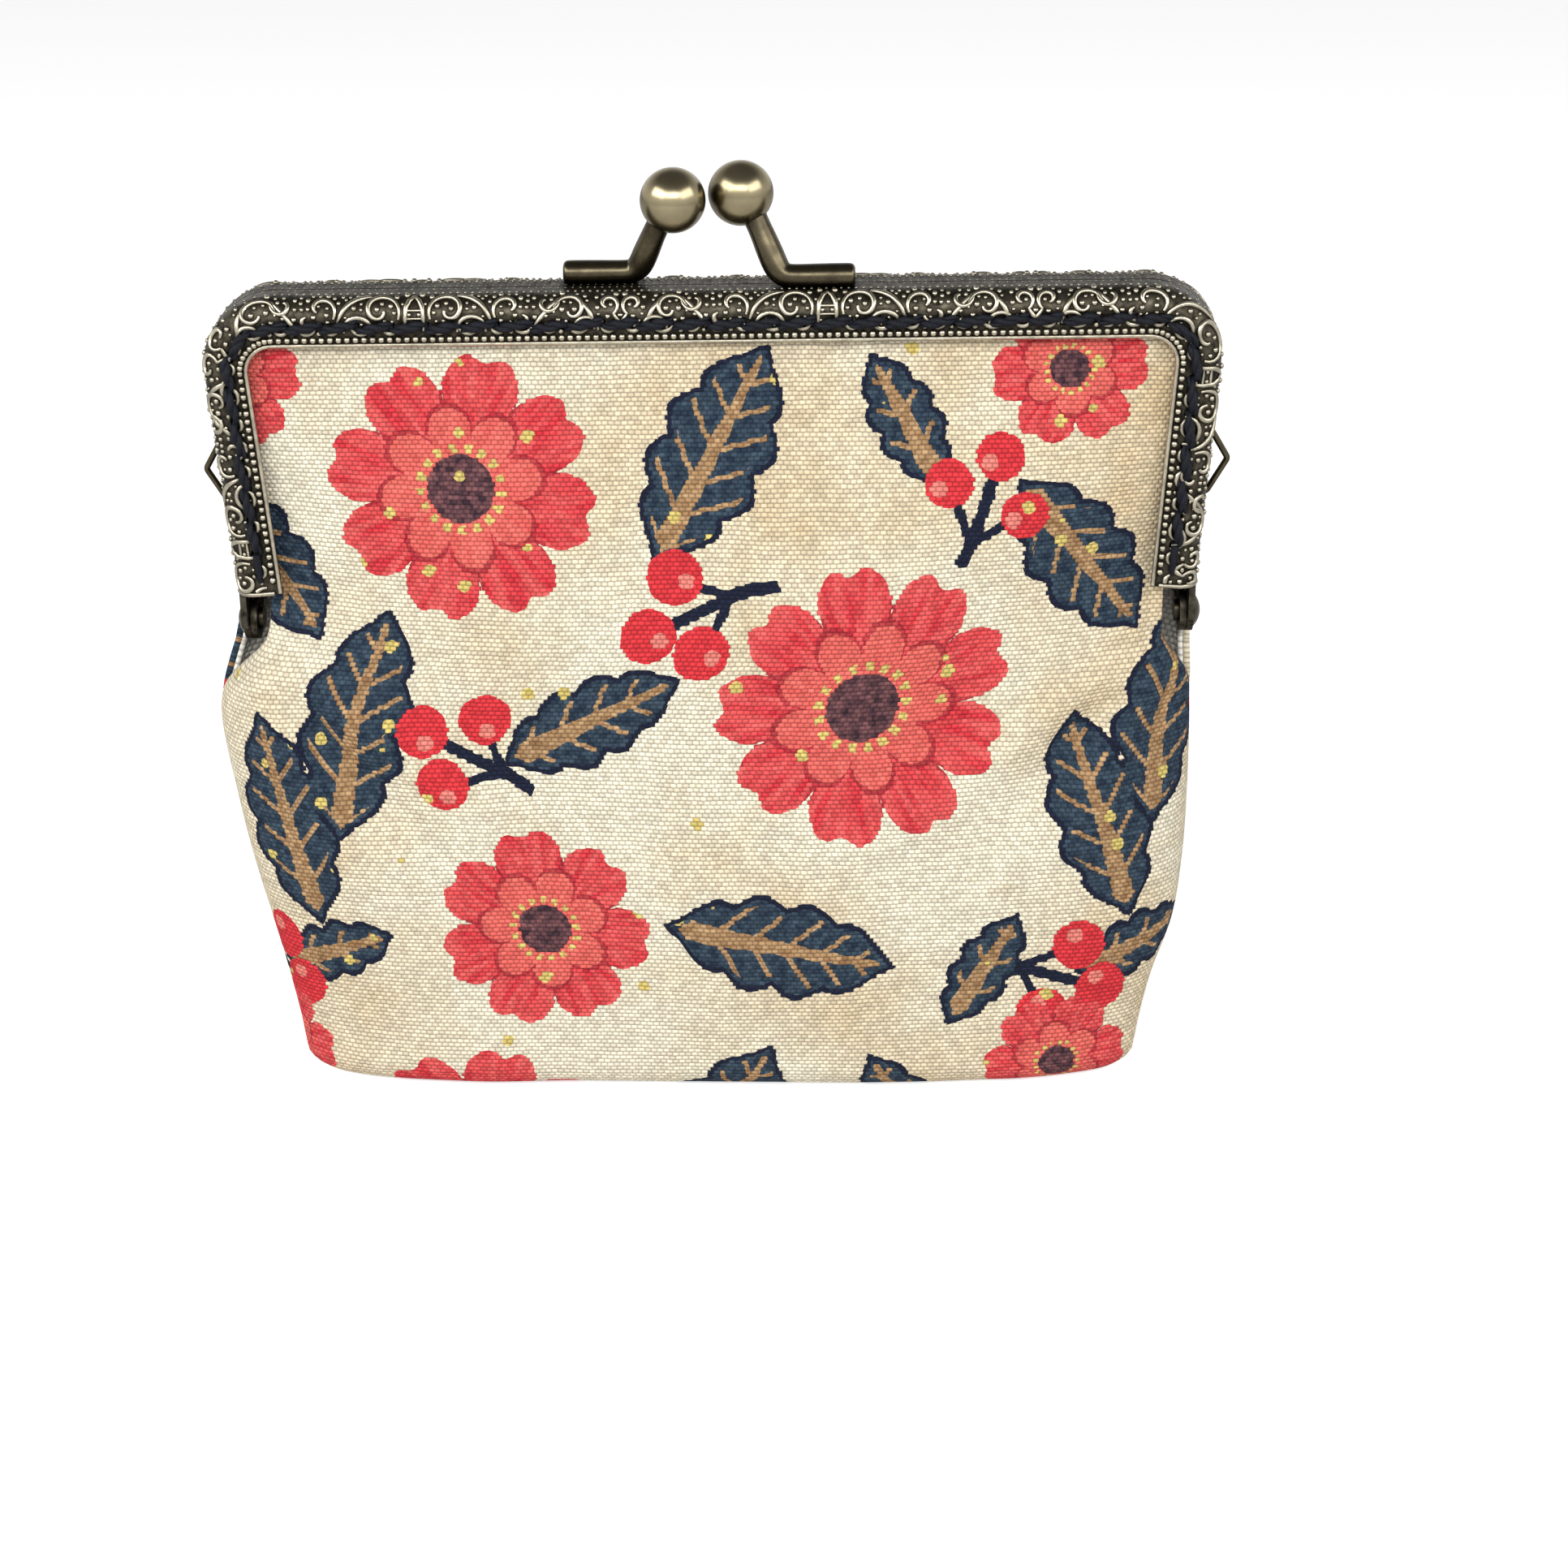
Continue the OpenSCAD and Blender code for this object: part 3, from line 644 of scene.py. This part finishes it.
def cloth_grid(half, inset, cols, rows, seed):
    """Rows of points from the frame's channel down the wall, round the base's edge and under it."""
    grid = []
    for i in range(rows + 1):
        z = panel_top - (panel_top - base_edge) * i / rows
        grid.append([panel_point(math.pi * j / cols, z, half, inset, seed) for j in range(cols + 1)])
    foot = grid[-1]
    reach_x, reach_y = max(abs(p.x) for p in foot), max(abs(p.y) for p in foot)
    edge_r = base_edge - inset
    for i in range(1, 6):
        a = math.pi / 2 * i / 5
        tuck = edge_r * (1 - math.cos(a))
        grid.append([Vector((p.x * (1 - tuck / reach_x), p.y * (1 - tuck / reach_y),
                             low.z + inset + edge_r * (1 - math.sin(a)))) for p in foot])
    rim = grid[-1]
    spine = min(abs(rim[0].x), abs(rim[-1].x)) - 0.012
    for i in range(1, 7):
        grid.append([p.lerp(Vector((math.copysign(min(abs(p.x), spine), p.x), 0, p.z)), i / 6) for p in rim])
    return grid


def cloth_piece(name, grid, half, thickness):
    """Mesh of the grid with its cut laid out in metres as the UV map, and its flat size."""
    rows, cols = len(grid), len(grid[0])
    mesh = bpy.data.meshes.new(name)
    faces = []
    for i in range(rows - 1):
        for j in range(cols - 1):
            a, b, c, d = i * cols + j, (i + 1) * cols + j, (i + 1) * cols + j + 1, i * cols + j + 1
            faces.append((a, d, c, b) if half < 0 else (a, b, c, d))
    mesh.from_pydata([p for row in grid for p in row], [], faces)
    centre = cols // 2
    across, down = [], [0.0]
    for i, row in enumerate(grid):
        run = [0.0]
        for p, q in zip(row, row[1:]):
            run.append(run[-1] + (q - p).length)
        across.append([r - run[centre] for r in run])
        if i:
            down.append(down[-1] + (row[centre] - grid[i - 1][centre]).length)
    layout = mesh.uv_layers.new(name="cut")
    for loop in mesh.loops:
        i, j = divmod(loop.vertex_index, cols)
        layout.data[loop.index].uv = (half * across[i][j], -down[i])
    made = put_in_scene(name, mesh)
    bpy.ops.object.shade_smooth()
    wall = made.modifiers.new("thickness", "SOLIDIFY")
    wall.thickness = thickness
    wall.offset = -1
    bpy.ops.object.modifier_apply(modifier="thickness")
    area = sum(f.area for f in mesh.polygons) / 2
    return made, (max(r[-1] - r[0] for r in across), down[-1]), area


def calc(tree, operation, *values, clamp=False):
    """A Math node on sockets and numbers; returns its result."""
    made = tree.nodes.new("ShaderNodeMath")
    made.operation, made.use_clamp = operation, clamp
    for i, value in enumerate(values):
        if isinstance(value, (int, float)):
            made.inputs[i].default_value = value
        else:
            tree.links.new(value, made.inputs[i])
    return made.outputs[0]


def new_group(name, inputs, outputs):
    """An empty shader group with its sockets, its input node and its output node."""
    made = bpy.data.node_groups.new(name, "ShaderNodeTree")
    for key, kind in inputs:
        made.interface.new_socket(key, in_out="INPUT", socket_type="NodeSocket" + kind)
    for key, kind in outputs:
        made.interface.new_socket(key, in_out="OUTPUT", socket_type="NodeSocket" + kind)
    return made, made.nodes.new("NodeGroupInput").outputs, made.nodes.new("NodeGroupOutput").inputs


def paint(tree, under, over, mask):
    """Lays the colour over on the colour under, where the mask is."""
    made = add_node(tree, "Mix", data_type="RGBA")
    for socket, value in ((made.inputs[0], mask), (made.inputs[6], under), (made.inputs[7], over)):
        if isinstance(value, (tuple, float)):
            socket.default_value = value
        else:
            tree.links.new(value, socket)
    return made.outputs[2]


# Plain weave with the weft on top: staggered rows of floats, whose height also sets the painted shade in the
# gaps between them
weave, given, put = new_group("plain_weave", (("Cut", "Vector"), ("Float", "Float"), ("Row", "Float")),
                              (("Cell", "Vector"), ("Height", "Float"), ("Thread", "Float")))
waver = add_node(weave, "TexNoise", Scale=220.0, Detail=2.0)
weave.links.new(given["Cut"], waver.inputs["Vector"])
shift = add_node(weave, "VectorMath", operation="MULTIPLY_ADD",
                 _1=(0.0004, 0.0004, 0), _2=(-0.0002, -0.0002, 0))
weave.links.new(waver.outputs["Color"], shift.inputs[0])
moved = add_node(weave, "VectorMath", operation="ADD")
weave.links.new(given["Cut"], moved.inputs[0])
weave.links.new(shift.outputs[0], moved.inputs[1])
apart = add_node(weave, "SeparateXYZ")
weave.links.new(moved.outputs[0], apart.inputs[0])
down = calc(weave, "DIVIDE", apart.outputs[1], given["Row"])
row = calc(weave, "FLOOR", down)
stagger = calc(weave, "MULTIPLY", calc(weave, "FLOORED_MODULO", row, 2.0), 0.5)
across = calc(weave, "ADD", calc(weave, "DIVIDE", apart.outputs[0], given["Float"]), stagger)
float_no = calc(weave, "FLOOR", across)
arches = []
for way, flatness in ((across, 0.6), (down, 0.7)):
    arch = calc(weave, "SINE", calc(weave, "MULTIPLY", calc(weave, "FRACT", way), math.pi))
    arches.append(calc(weave, "POWER", arch, flatness))
weave.links.new(calc(weave, "MULTIPLY", *arches), put["Height"])
number = add_node(weave, "CombineXYZ")
weave.links.new(float_no, number.inputs[0])
weave.links.new(row, number.inputs[1])
each = add_node(weave, "TexWhiteNoise", noise_dimensions="2D")
weave.links.new(number.outputs[0], each.inputs["Vector"])
weave.links.new(each.outputs["Value"], put["Thread"])
# ink runs half way along each float, so a printed edge is a little stepped
middle_x = calc(weave, "SUBTRACT", calc(weave, "ADD", float_no, 0.5), stagger)
middle_x = calc(weave, "MULTIPLY", middle_x, given["Float"])
middle_y = calc(weave, "MULTIPLY", calc(weave, "ADD", row, 0.5), given["Row"])
stepped = add_node(weave, "CombineXYZ")
weave.links.new(middle_x, stepped.inputs[0])
weave.links.new(middle_y, stepped.inputs[1])
inked = add_node(weave, "Mix", data_type="VECTOR", _0=0.45)
weave.links.new(moved.outputs[0], inked.inputs[4])
weave.links.new(stepped.outputs[0], inked.inputs[5])
weave.links.new(inked.outputs[1], put["Cell"])

# Each motif is printed again at every repeat of the block, so the print has no joins
block = (0.104, 0.092, 1.0)
motif, given, put = new_group("motif_place", (("Cut", "Vector"), ("Centre", "Vector"), ("Turn", "Float")),
                              (("X", "Float"), ("Y", "Float")))
from_centre = add_node(motif, "VectorMath", operation="SUBTRACT")
motif.links.new(given["Cut"], from_centre.inputs[0])
motif.links.new(given["Centre"], from_centre.inputs[1])
wrapped = add_node(motif, "VectorMath", operation="WRAP")
motif.links.new(from_centre.outputs[0], wrapped.inputs[0])
wrapped.inputs[1].default_value = tuple(v / 2 for v in block)
wrapped.inputs[2].default_value = tuple(-v / 2 for v in block)
turned = add_node(motif, "VectorRotate", rotation_type="Z_AXIS")
motif.links.new(wrapped.outputs[0], turned.inputs["Vector"])
motif.links.new(calc(motif, "MULTIPLY", given["Turn"], -1.0), turned.inputs["Angle"])
apart = add_node(motif, "SeparateXYZ")
motif.links.new(turned.outputs[0], apart.inputs[0])
for i, key in enumerate("XY"):
    motif.links.new(calc(motif, "MULTIPLY", apart.outputs[i], 1000.0), put[key])


def floats(*keys):
    """Sockets of plain numbers for a group."""
    return tuple((key, "Float") for key in keys)


def below(tree, value, limit):
    """1 where the value is under the limit, and 0 elsewhere."""
    return calc(tree, "LESS_THAN", value, limit)


def squares(tree, x, y):
    """x squared and y squared, added."""
    return calc(tree, "ADD", calc(tree, "POWER", x, 2.0), calc(tree, "POWER", y, 2.0))


# A blossom of broad notched petals with a smaller ring inside; sizes in millimetres
blossom, given, put = new_group("blossom", floats("X", "Y", "Radius", "Petals"),
                                floats("Petal", "Inner", "Vein", "Heart", "Stamen", "Streak"))
away = calc(blossom, "SQRT", squares(blossom, given["X"], given["Y"]))
share = calc(blossom, "DIVIDE", away, given["Radius"])
angle = calc(blossom, "ARCTAN2", given["Y"], given["X"])
half_turns = calc(blossom, "MULTIPLY", angle, calc(blossom, "MULTIPLY", given["Petals"], 0.5))
lobe = calc(blossom, "ABSOLUTE", calc(blossom, "SINE", half_turns))
lobe_in = calc(blossom, "ABSOLUTE", calc(blossom, "COSINE", half_turns))
edge = calc(blossom, "MULTIPLY_ADD", calc(blossom, "POWER", lobe, 0.5), 0.36, 0.64)
edge = calc(blossom, "SUBTRACT", edge, calc(blossom, "MULTIPLY", calc(blossom, "POWER", lobe, 14.0), 0.09))
petal = below(blossom, share, edge)
blossom.links.new(petal, put["Petal"])
inner_edge = calc(blossom, "MULTIPLY_ADD", calc(blossom, "POWER", lobe_in, 0.5), 0.24, 0.36)
blossom.links.new(below(blossom, share, inner_edge), put["Inner"])
gap = calc(blossom, "MULTIPLY", below(blossom, lobe, 0.10), calc(blossom, "GREATER_THAN", share, inner_edge))
ring = below(blossom, calc(blossom, "ABSOLUTE", calc(blossom, "SUBTRACT", share, inner_edge)), 0.022)
blossom.links.new(calc(blossom, "MULTIPLY", calc(blossom, "MAXIMUM", gap, ring), petal), put["Vein"])
blossom.links.new(below(blossom, share, 0.24), put["Heart"])
beads = calc(blossom, "SINE", calc(blossom, "MULTIPLY", angle, 17.0))
beads = calc(blossom, "MULTIPLY", calc(blossom, "GREATER_THAN", beads, 0.1),
             below(blossom, calc(blossom, "ABSOLUTE", calc(blossom, "SUBTRACT", share, 0.29)), 0.032))
blossom.links.new(beads, put["Stamen"])
fan = add_node(blossom, "CombineXYZ")
blossom.links.new(calc(blossom, "MULTIPLY", angle, 11.0), fan.inputs[0])
blossom.links.new(calc(blossom, "MULTIPLY", share, 2.5), fan.inputs[1])
blossom.links.new(given["Radius"], fan.inputs[2])
streaks = add_node(blossom, "TexNoise", Scale=1.0, Detail=3.0)
blossom.links.new(fan.outputs[0], streaks.inputs["Vector"])
blossom.links.new(calc(blossom, "MULTIPLY", streaks.outputs["Fac"], petal), put["Streak"])

# A lobed leaf with a tan midrib and side veins, and a thin outline
leaf, given, put = new_group("leaf", floats("X", "Y", "Length", "Width"), floats("Fill", "Pale", "Line"))
along = calc(leaf, "DIVIDE", given["X"], given["Length"])
swell = calc(leaf, "MULTIPLY", given["Width"],
             calc(leaf, "SUBTRACT", 1.0, calc(leaf, "POWER", calc(leaf, "ABSOLUTE", along), 2.4)))
lobes = calc(leaf, "ABSOLUTE", calc(leaf, "SINE", calc(leaf, "MULTIPLY", along, 7.2)))
side_y = calc(leaf, "ABSOLUTE", given["Y"])
margin = calc(leaf, "MULTIPLY", swell, calc(leaf, "MULTIPLY_ADD", lobes, 0.22, 0.78))
margin = calc(leaf, "SUBTRACT", margin, side_y)
inside = calc(leaf, "GREATER_THAN", margin, 1.5)
leaf.links.new(calc(leaf, "GREATER_THAN", margin, 0.75), put["Fill"])
leaf.links.new(calc(leaf, "GREATER_THAN", margin, 0.0), put["Line"])
midrib = below(leaf, side_y, calc(leaf, "MULTIPLY_ADD", along, -0.6, 0.95))
slanted = calc(leaf, "SUBTRACT", given["X"], calc(leaf, "MULTIPLY", side_y, 0.9))
veins = below(leaf, calc(leaf, "FRACT", calc(leaf, "DIVIDE", slanted, 4.6)), 0.19)
leaf.links.new(calc(leaf, "MULTIPLY", inside, calc(leaf, "MAXIMUM", midrib, veins)), put["Pale"])

# Three round berries on a forked stem
berries, given, put = new_group("berries", floats("X", "Y", "Radius", "Stem"),
                                floats("Bud", "Shine", "Stalk"))
fork = calc(berries, "ADD", given["X"], 5.8)
fruit = shine = stalk = None
for x, y, slope in ((5.6, 0.4, 0.04), (0.4, 5.2, 0.86), (-0.4, -5.0, -0.86)):
    off_x, off_y = calc(berries, "SUBTRACT", given["X"], x), calc(berries, "SUBTRACT", given["Y"], y)
    one = below(berries, calc(berries, "SQRT", squares(berries, off_x, off_y)), given["Radius"])
    spot = squares(berries, calc(berries, "ADD", off_x, 1.1), calc(berries, "SUBTRACT", off_y, 1.1))
    spot = below(berries, spot, 1.1)
    twig = calc(berries, "SUBTRACT", given["Y"], calc(berries, "MULTIPLY", fork, slope))
    span = calc(berries, "MULTIPLY", below(berries, given["X"], x), calc(berries, "GREATER_THAN", fork, 0.0))
    twig = calc(berries, "MULTIPLY", below(berries, calc(berries, "ABSOLUTE", twig), 0.75), span)
    fruit = one if fruit is None else calc(berries, "MAXIMUM", fruit, one)
    shine = spot if shine is None else calc(berries, "MAXIMUM", shine, spot)
    stalk = twig if stalk is None else calc(berries, "MAXIMUM", stalk, twig)
bend = calc(berries, "MULTIPLY", calc(berries, "POWER", fork, 2.0), 0.035)
stem = below(berries, calc(berries, "ABSOLUTE", calc(berries, "SUBTRACT", given["Y"], bend)), 0.85)
stem = calc(berries, "MULTIPLY", stem, below(berries, given["X"], -5.7))
stem_end = calc(berries, "MULTIPLY", given["Stem"], -1.0)
stem = calc(berries, "MULTIPLY", stem, calc(berries, "GREATER_THAN", given["X"], stem_end))
berries.links.new(fruit, put["Bud"])
berries.links.new(shine, put["Shine"])
berries.links.new(calc(berries, "MAXIMUM", stalk, stem), put["Stalk"])

# The block's layout: centre x, y in millimetres, turn in degrees, then the motif's own two sizes
blossoms = [(-31, -22, 10, 17.5, 8), (20, -50, 0, 19.0, 9), (-22, -80, 20, 14.0, 7), (44, -8, 35, 10.0, 6)]
leaves = [(0, -18, 62, 15.5, 7.6), (46, -32, -52, 13.5, 6.8), (-44, -53, 78, 15.5, 7.4),
          (-14, -52, 28, 12.5, 5.8), (50, -66, 102, 14.5, 6.8), (8, -82, -12, 15.0, 7.0),
          (24, -14, 118, 9.5, 4.6), (-50, -84, 20, 9.0, 4.4), (34, -86, 60, 9.0, 4.4)]
sprigs = [(-3, -38, 205, 3.5, 12), (44, -88, -20, 3.4, 10), (-30, -56, 150, 3.3, 10), (34, -24, 70, 3.0, 9)]

canvas = bpy.data.materials.new("printed_canvas")
canvas.use_nodes = True
tree = canvas.node_tree
shader = tree.nodes["Principled BSDF"]
cut = add_node(tree, "UVMap", uv_map="cut")
cloth = add_node(tree, "Group")
cloth.node_tree = weave
cloth.inputs["Float"].default_value, cloth.inputs["Row"].default_value = 0.00081, 0.00057
tree.links.new(cut.outputs[0], cloth.inputs["Cut"])


def printed(group, placed, sizes):
    """The masks of every copy of a motif, merged."""
    merged = None
    for x, y, turn, first, second in placed:
        spot = add_node(tree, "Group")
        spot.node_tree = motif
        tree.links.new(cloth.outputs["Cell"], spot.inputs["Cut"])
        spot.inputs["Centre"].default_value = (x / 1000, y / 1000, 0)
        spot.inputs["Turn"].default_value = math.radians(turn)
        copy = add_node(tree, "Group")
        copy.node_tree = group
        tree.links.new(spot.outputs["X"], copy.inputs["X"])
        tree.links.new(spot.outputs["Y"], copy.inputs["Y"])
        copy.inputs[sizes[0]].default_value = first
        copy.inputs[sizes[1]].default_value = second
        masks = list(copy.outputs)
        merged = masks if merged is None else [calc(tree, "MAXIMUM", a, b) for a, b in zip(merged, masks)]
    return merged


petal, inner, vein, heart, stamen, streak = printed(blossom, blossoms, ("Radius", "Petals"))
fill, pale, line = printed(leaf, leaves, ("Length", "Width"))
fruit, shine, stalk = printed(berries, sprigs, ("Radius", "Stem"))

stain = add_node(tree, "TexNoise", Scale=24.0, Detail=4.0, Roughness=0.6)
tree.links.new(cut.outputs[0], stain.inputs["Vector"])
stained = add_node(tree, "MapRange", _1=0.42, _2=0.68, _4=0.75)
tree.links.new(stain.outputs["Fac"], stained.inputs["Value"])
flecks = add_node(tree, "TexNoise", Scale=900.0, Detail=2.0)
tree.links.new(cloth.outputs["Cell"], flecks.inputs["Vector"])
flecked = add_node(tree, "MapRange", _1=0.35, _2=0.65)
tree.links.new(flecks.outputs["Fac"], flecked.inputs["Value"])
specks = add_node(tree, "TexVoronoi", Scale=230.0, Randomness=1.0)
tree.links.new(cloth.outputs["Cell"], specks.inputs["Vector"])
some = add_node(tree, "SeparateColor")
tree.links.new(specks.outputs["Color"], some.inputs[0])
speck = calc(tree, "MULTIPLY", below(tree, specks.outputs["Distance"], 0.20),
             calc(tree, "GREATER_THAN", some.outputs[0], 0.70))
on_ground = calc(tree, "GREATER_THAN", some.outputs[1], 0.80)
printed_over = calc(tree, "MAXIMUM", calc(tree, "MAXIMUM", petal, fill),
                    calc(tree, "MAXIMUM", on_ground, fruit))
gold = calc(tree, "MAXIMUM", stamen, calc(tree, "MULTIPLY", speck, printed_over))

ground = paint(tree, (0.84, 0.77, 0.60, 1), (0.62, 0.44, 0.22, 1), stained.outputs[0])
slate = paint(tree, (0.016, 0.029, 0.052, 1), (0.050, 0.080, 0.112, 1), flecked.outputs[0])
tan = paint(tree, (0.30, 0.165, 0.075, 1), (0.50, 0.32, 0.165, 1), flecked.outputs[0])
streaked = add_node(tree, "MapRange", _1=0.36, _2=0.62)
tree.links.new(streak, streaked.inputs["Value"])
coral = paint(tree, (0.62, 0.030, 0.045, 1), (0.82, 0.135, 0.125, 1), streaked.outputs[0])
coral = paint(tree, coral, (0.72, 0.075, 0.080, 1), calc(tree, "MULTIPLY", flecked.outputs[0], 0.5))
plum = paint(tree, (0.040, 0.022, 0.032, 1), (0.20, 0.085, 0.090, 1), flecked.outputs[0])
ink = (0.012, 0.016, 0.036, 1)
colour = paint(tree, ground, ink, stalk)
colour = paint(tree, colour, ink, line)
colour = paint(tree, colour, slate, fill)
colour = paint(tree, colour, tan, pale)
colour = paint(tree, colour, (0.68, 0.040, 0.050, 1), fruit)
colour = paint(tree, colour, (0.84, 0.30, 0.24, 1), calc(tree, "MULTIPLY", shine, 0.7))
colour = paint(tree, colour, coral, petal)
colour = paint(tree, colour, (0.84, 0.22, 0.16, 1), calc(tree, "MULTIPLY", inner, 0.40))
colour = paint(tree, colour, (0.34, 0.018, 0.032, 1), calc(tree, "MULTIPLY", vein, 0.75))
colour = paint(tree, colour, plum, heart)
colour = paint(tree, colour, (0.66, 0.52, 0.16, 1), gold)
thread_tone = add_node(tree, "MapRange", _3=0.80, _4=1.10)
tree.links.new(cloth.outputs["Thread"], thread_tone.inputs["Value"])
# painted shade: the colour darkens where each float dips into the gap between floats, and is a touch brighter
# on its crown
painted_gap_shade = add_node(tree, "MapRange", _1=0.0, _2=0.75, _3=0.50, _4=1.04)
tree.links.new(cloth.outputs["Height"], painted_gap_shade.inputs["Value"])
tone = calc(tree, "MULTIPLY", thread_tone.outputs[0], painted_gap_shade.outputs[0])
shaded = add_node(tree, "VectorMath", operation="SCALE")
tree.links.new(colour, shaded.inputs[0])
tree.links.new(tone, shaded.inputs["Scale"])
tree.links.new(shaded.outputs[0], shader.inputs["Base Color"])
shader.inputs["Roughness"].default_value = 0.9
shader.inputs["Specular IOR Level"].default_value = 0.15
weave_bump = add_node(tree, "Bump", Strength=0.75, Distance=0.00022)
tree.links.new(cloth.outputs["Height"], weave_bump.inputs["Height"])
tree.links.new(weave_bump.outputs["Normal"], shader.inputs["Normal"])

cloth_t = 0.0008
for half, body, name, seed in ((-1, "front_half", "front", 3), (1, "back_half", "back", 8)):
    grid = cloth_grid(half, 0.0, 132, 100, seed)
    panel, flat, area = cloth_piece(name + "_panel", grid, half, cloth_t)
    panel.data.materials.append(canvas)
    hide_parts(name + "_panel_upper", name + "_panel_lower")
    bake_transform(panel)

# ---------------------------------------------------------------------------
# Lining: unprinted cotton of a coarser weave, cut like the panels, and sewn
# into the frame together with them.
# ---------------------------------------------------------------------------
lining_cloth = bpy.data.materials.new("lining_cotton")
lining_cloth.use_nodes = True
tree = lining_cloth.node_tree
shader = tree.nodes["Principled BSDF"]
cut = add_node(tree, "UVMap", uv_map="cut")
cloth = add_node(tree, "Group")
cloth.node_tree = weave
cloth.inputs["Float"].default_value, cloth.inputs["Row"].default_value = 0.00105, 0.00078
tree.links.new(cut.outputs[0], cloth.inputs["Cut"])
slub = add_node(tree, "TexNoise", Scale=60.0, Detail=4.0)
tree.links.new(cut.outputs[0], slub.inputs["Vector"])
colour = paint(tree, (0.86, 0.83, 0.76, 1), (0.74, 0.70, 0.60, 1), slub.outputs["Fac"])
# painted shade: the colour darkens where each float dips into the gap between floats, as on the printed
# canvas
painted_gap_shade = add_node(tree, "MapRange", _1=0.0, _2=0.8, _3=0.55, _4=1.03)
tree.links.new(cloth.outputs["Height"], painted_gap_shade.inputs["Value"])
shaded = add_node(tree, "VectorMath", operation="SCALE")
tree.links.new(colour, shaded.inputs[0])
tree.links.new(painted_gap_shade.outputs[0], shaded.inputs["Scale"])
tree.links.new(shaded.outputs[0], shader.inputs["Base Color"])
shader.inputs["Roughness"].default_value = 0.92
weave_bump = add_node(tree, "Bump", Strength=0.7, Distance=0.00028)
tree.links.new(cloth.outputs["Height"], weave_bump.inputs["Height"])
tree.links.new(weave_bump.outputs["Normal"], shader.inputs["Normal"])

for half, body, name, seed in ((-1, "front_half", "front", 3), (1, "back_half", "back", 8)):
    grid = cloth_grid(half, cloth_t + 0.00012, 96, 72, seed)
    lining, flat, area = cloth_piece(name + "_lining", grid, half, cloth_t * 0.8)
    lining.data.materials.append(lining_cloth)
    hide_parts(name + "_lining_upper", name + "_lining_lower")
    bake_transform(lining)
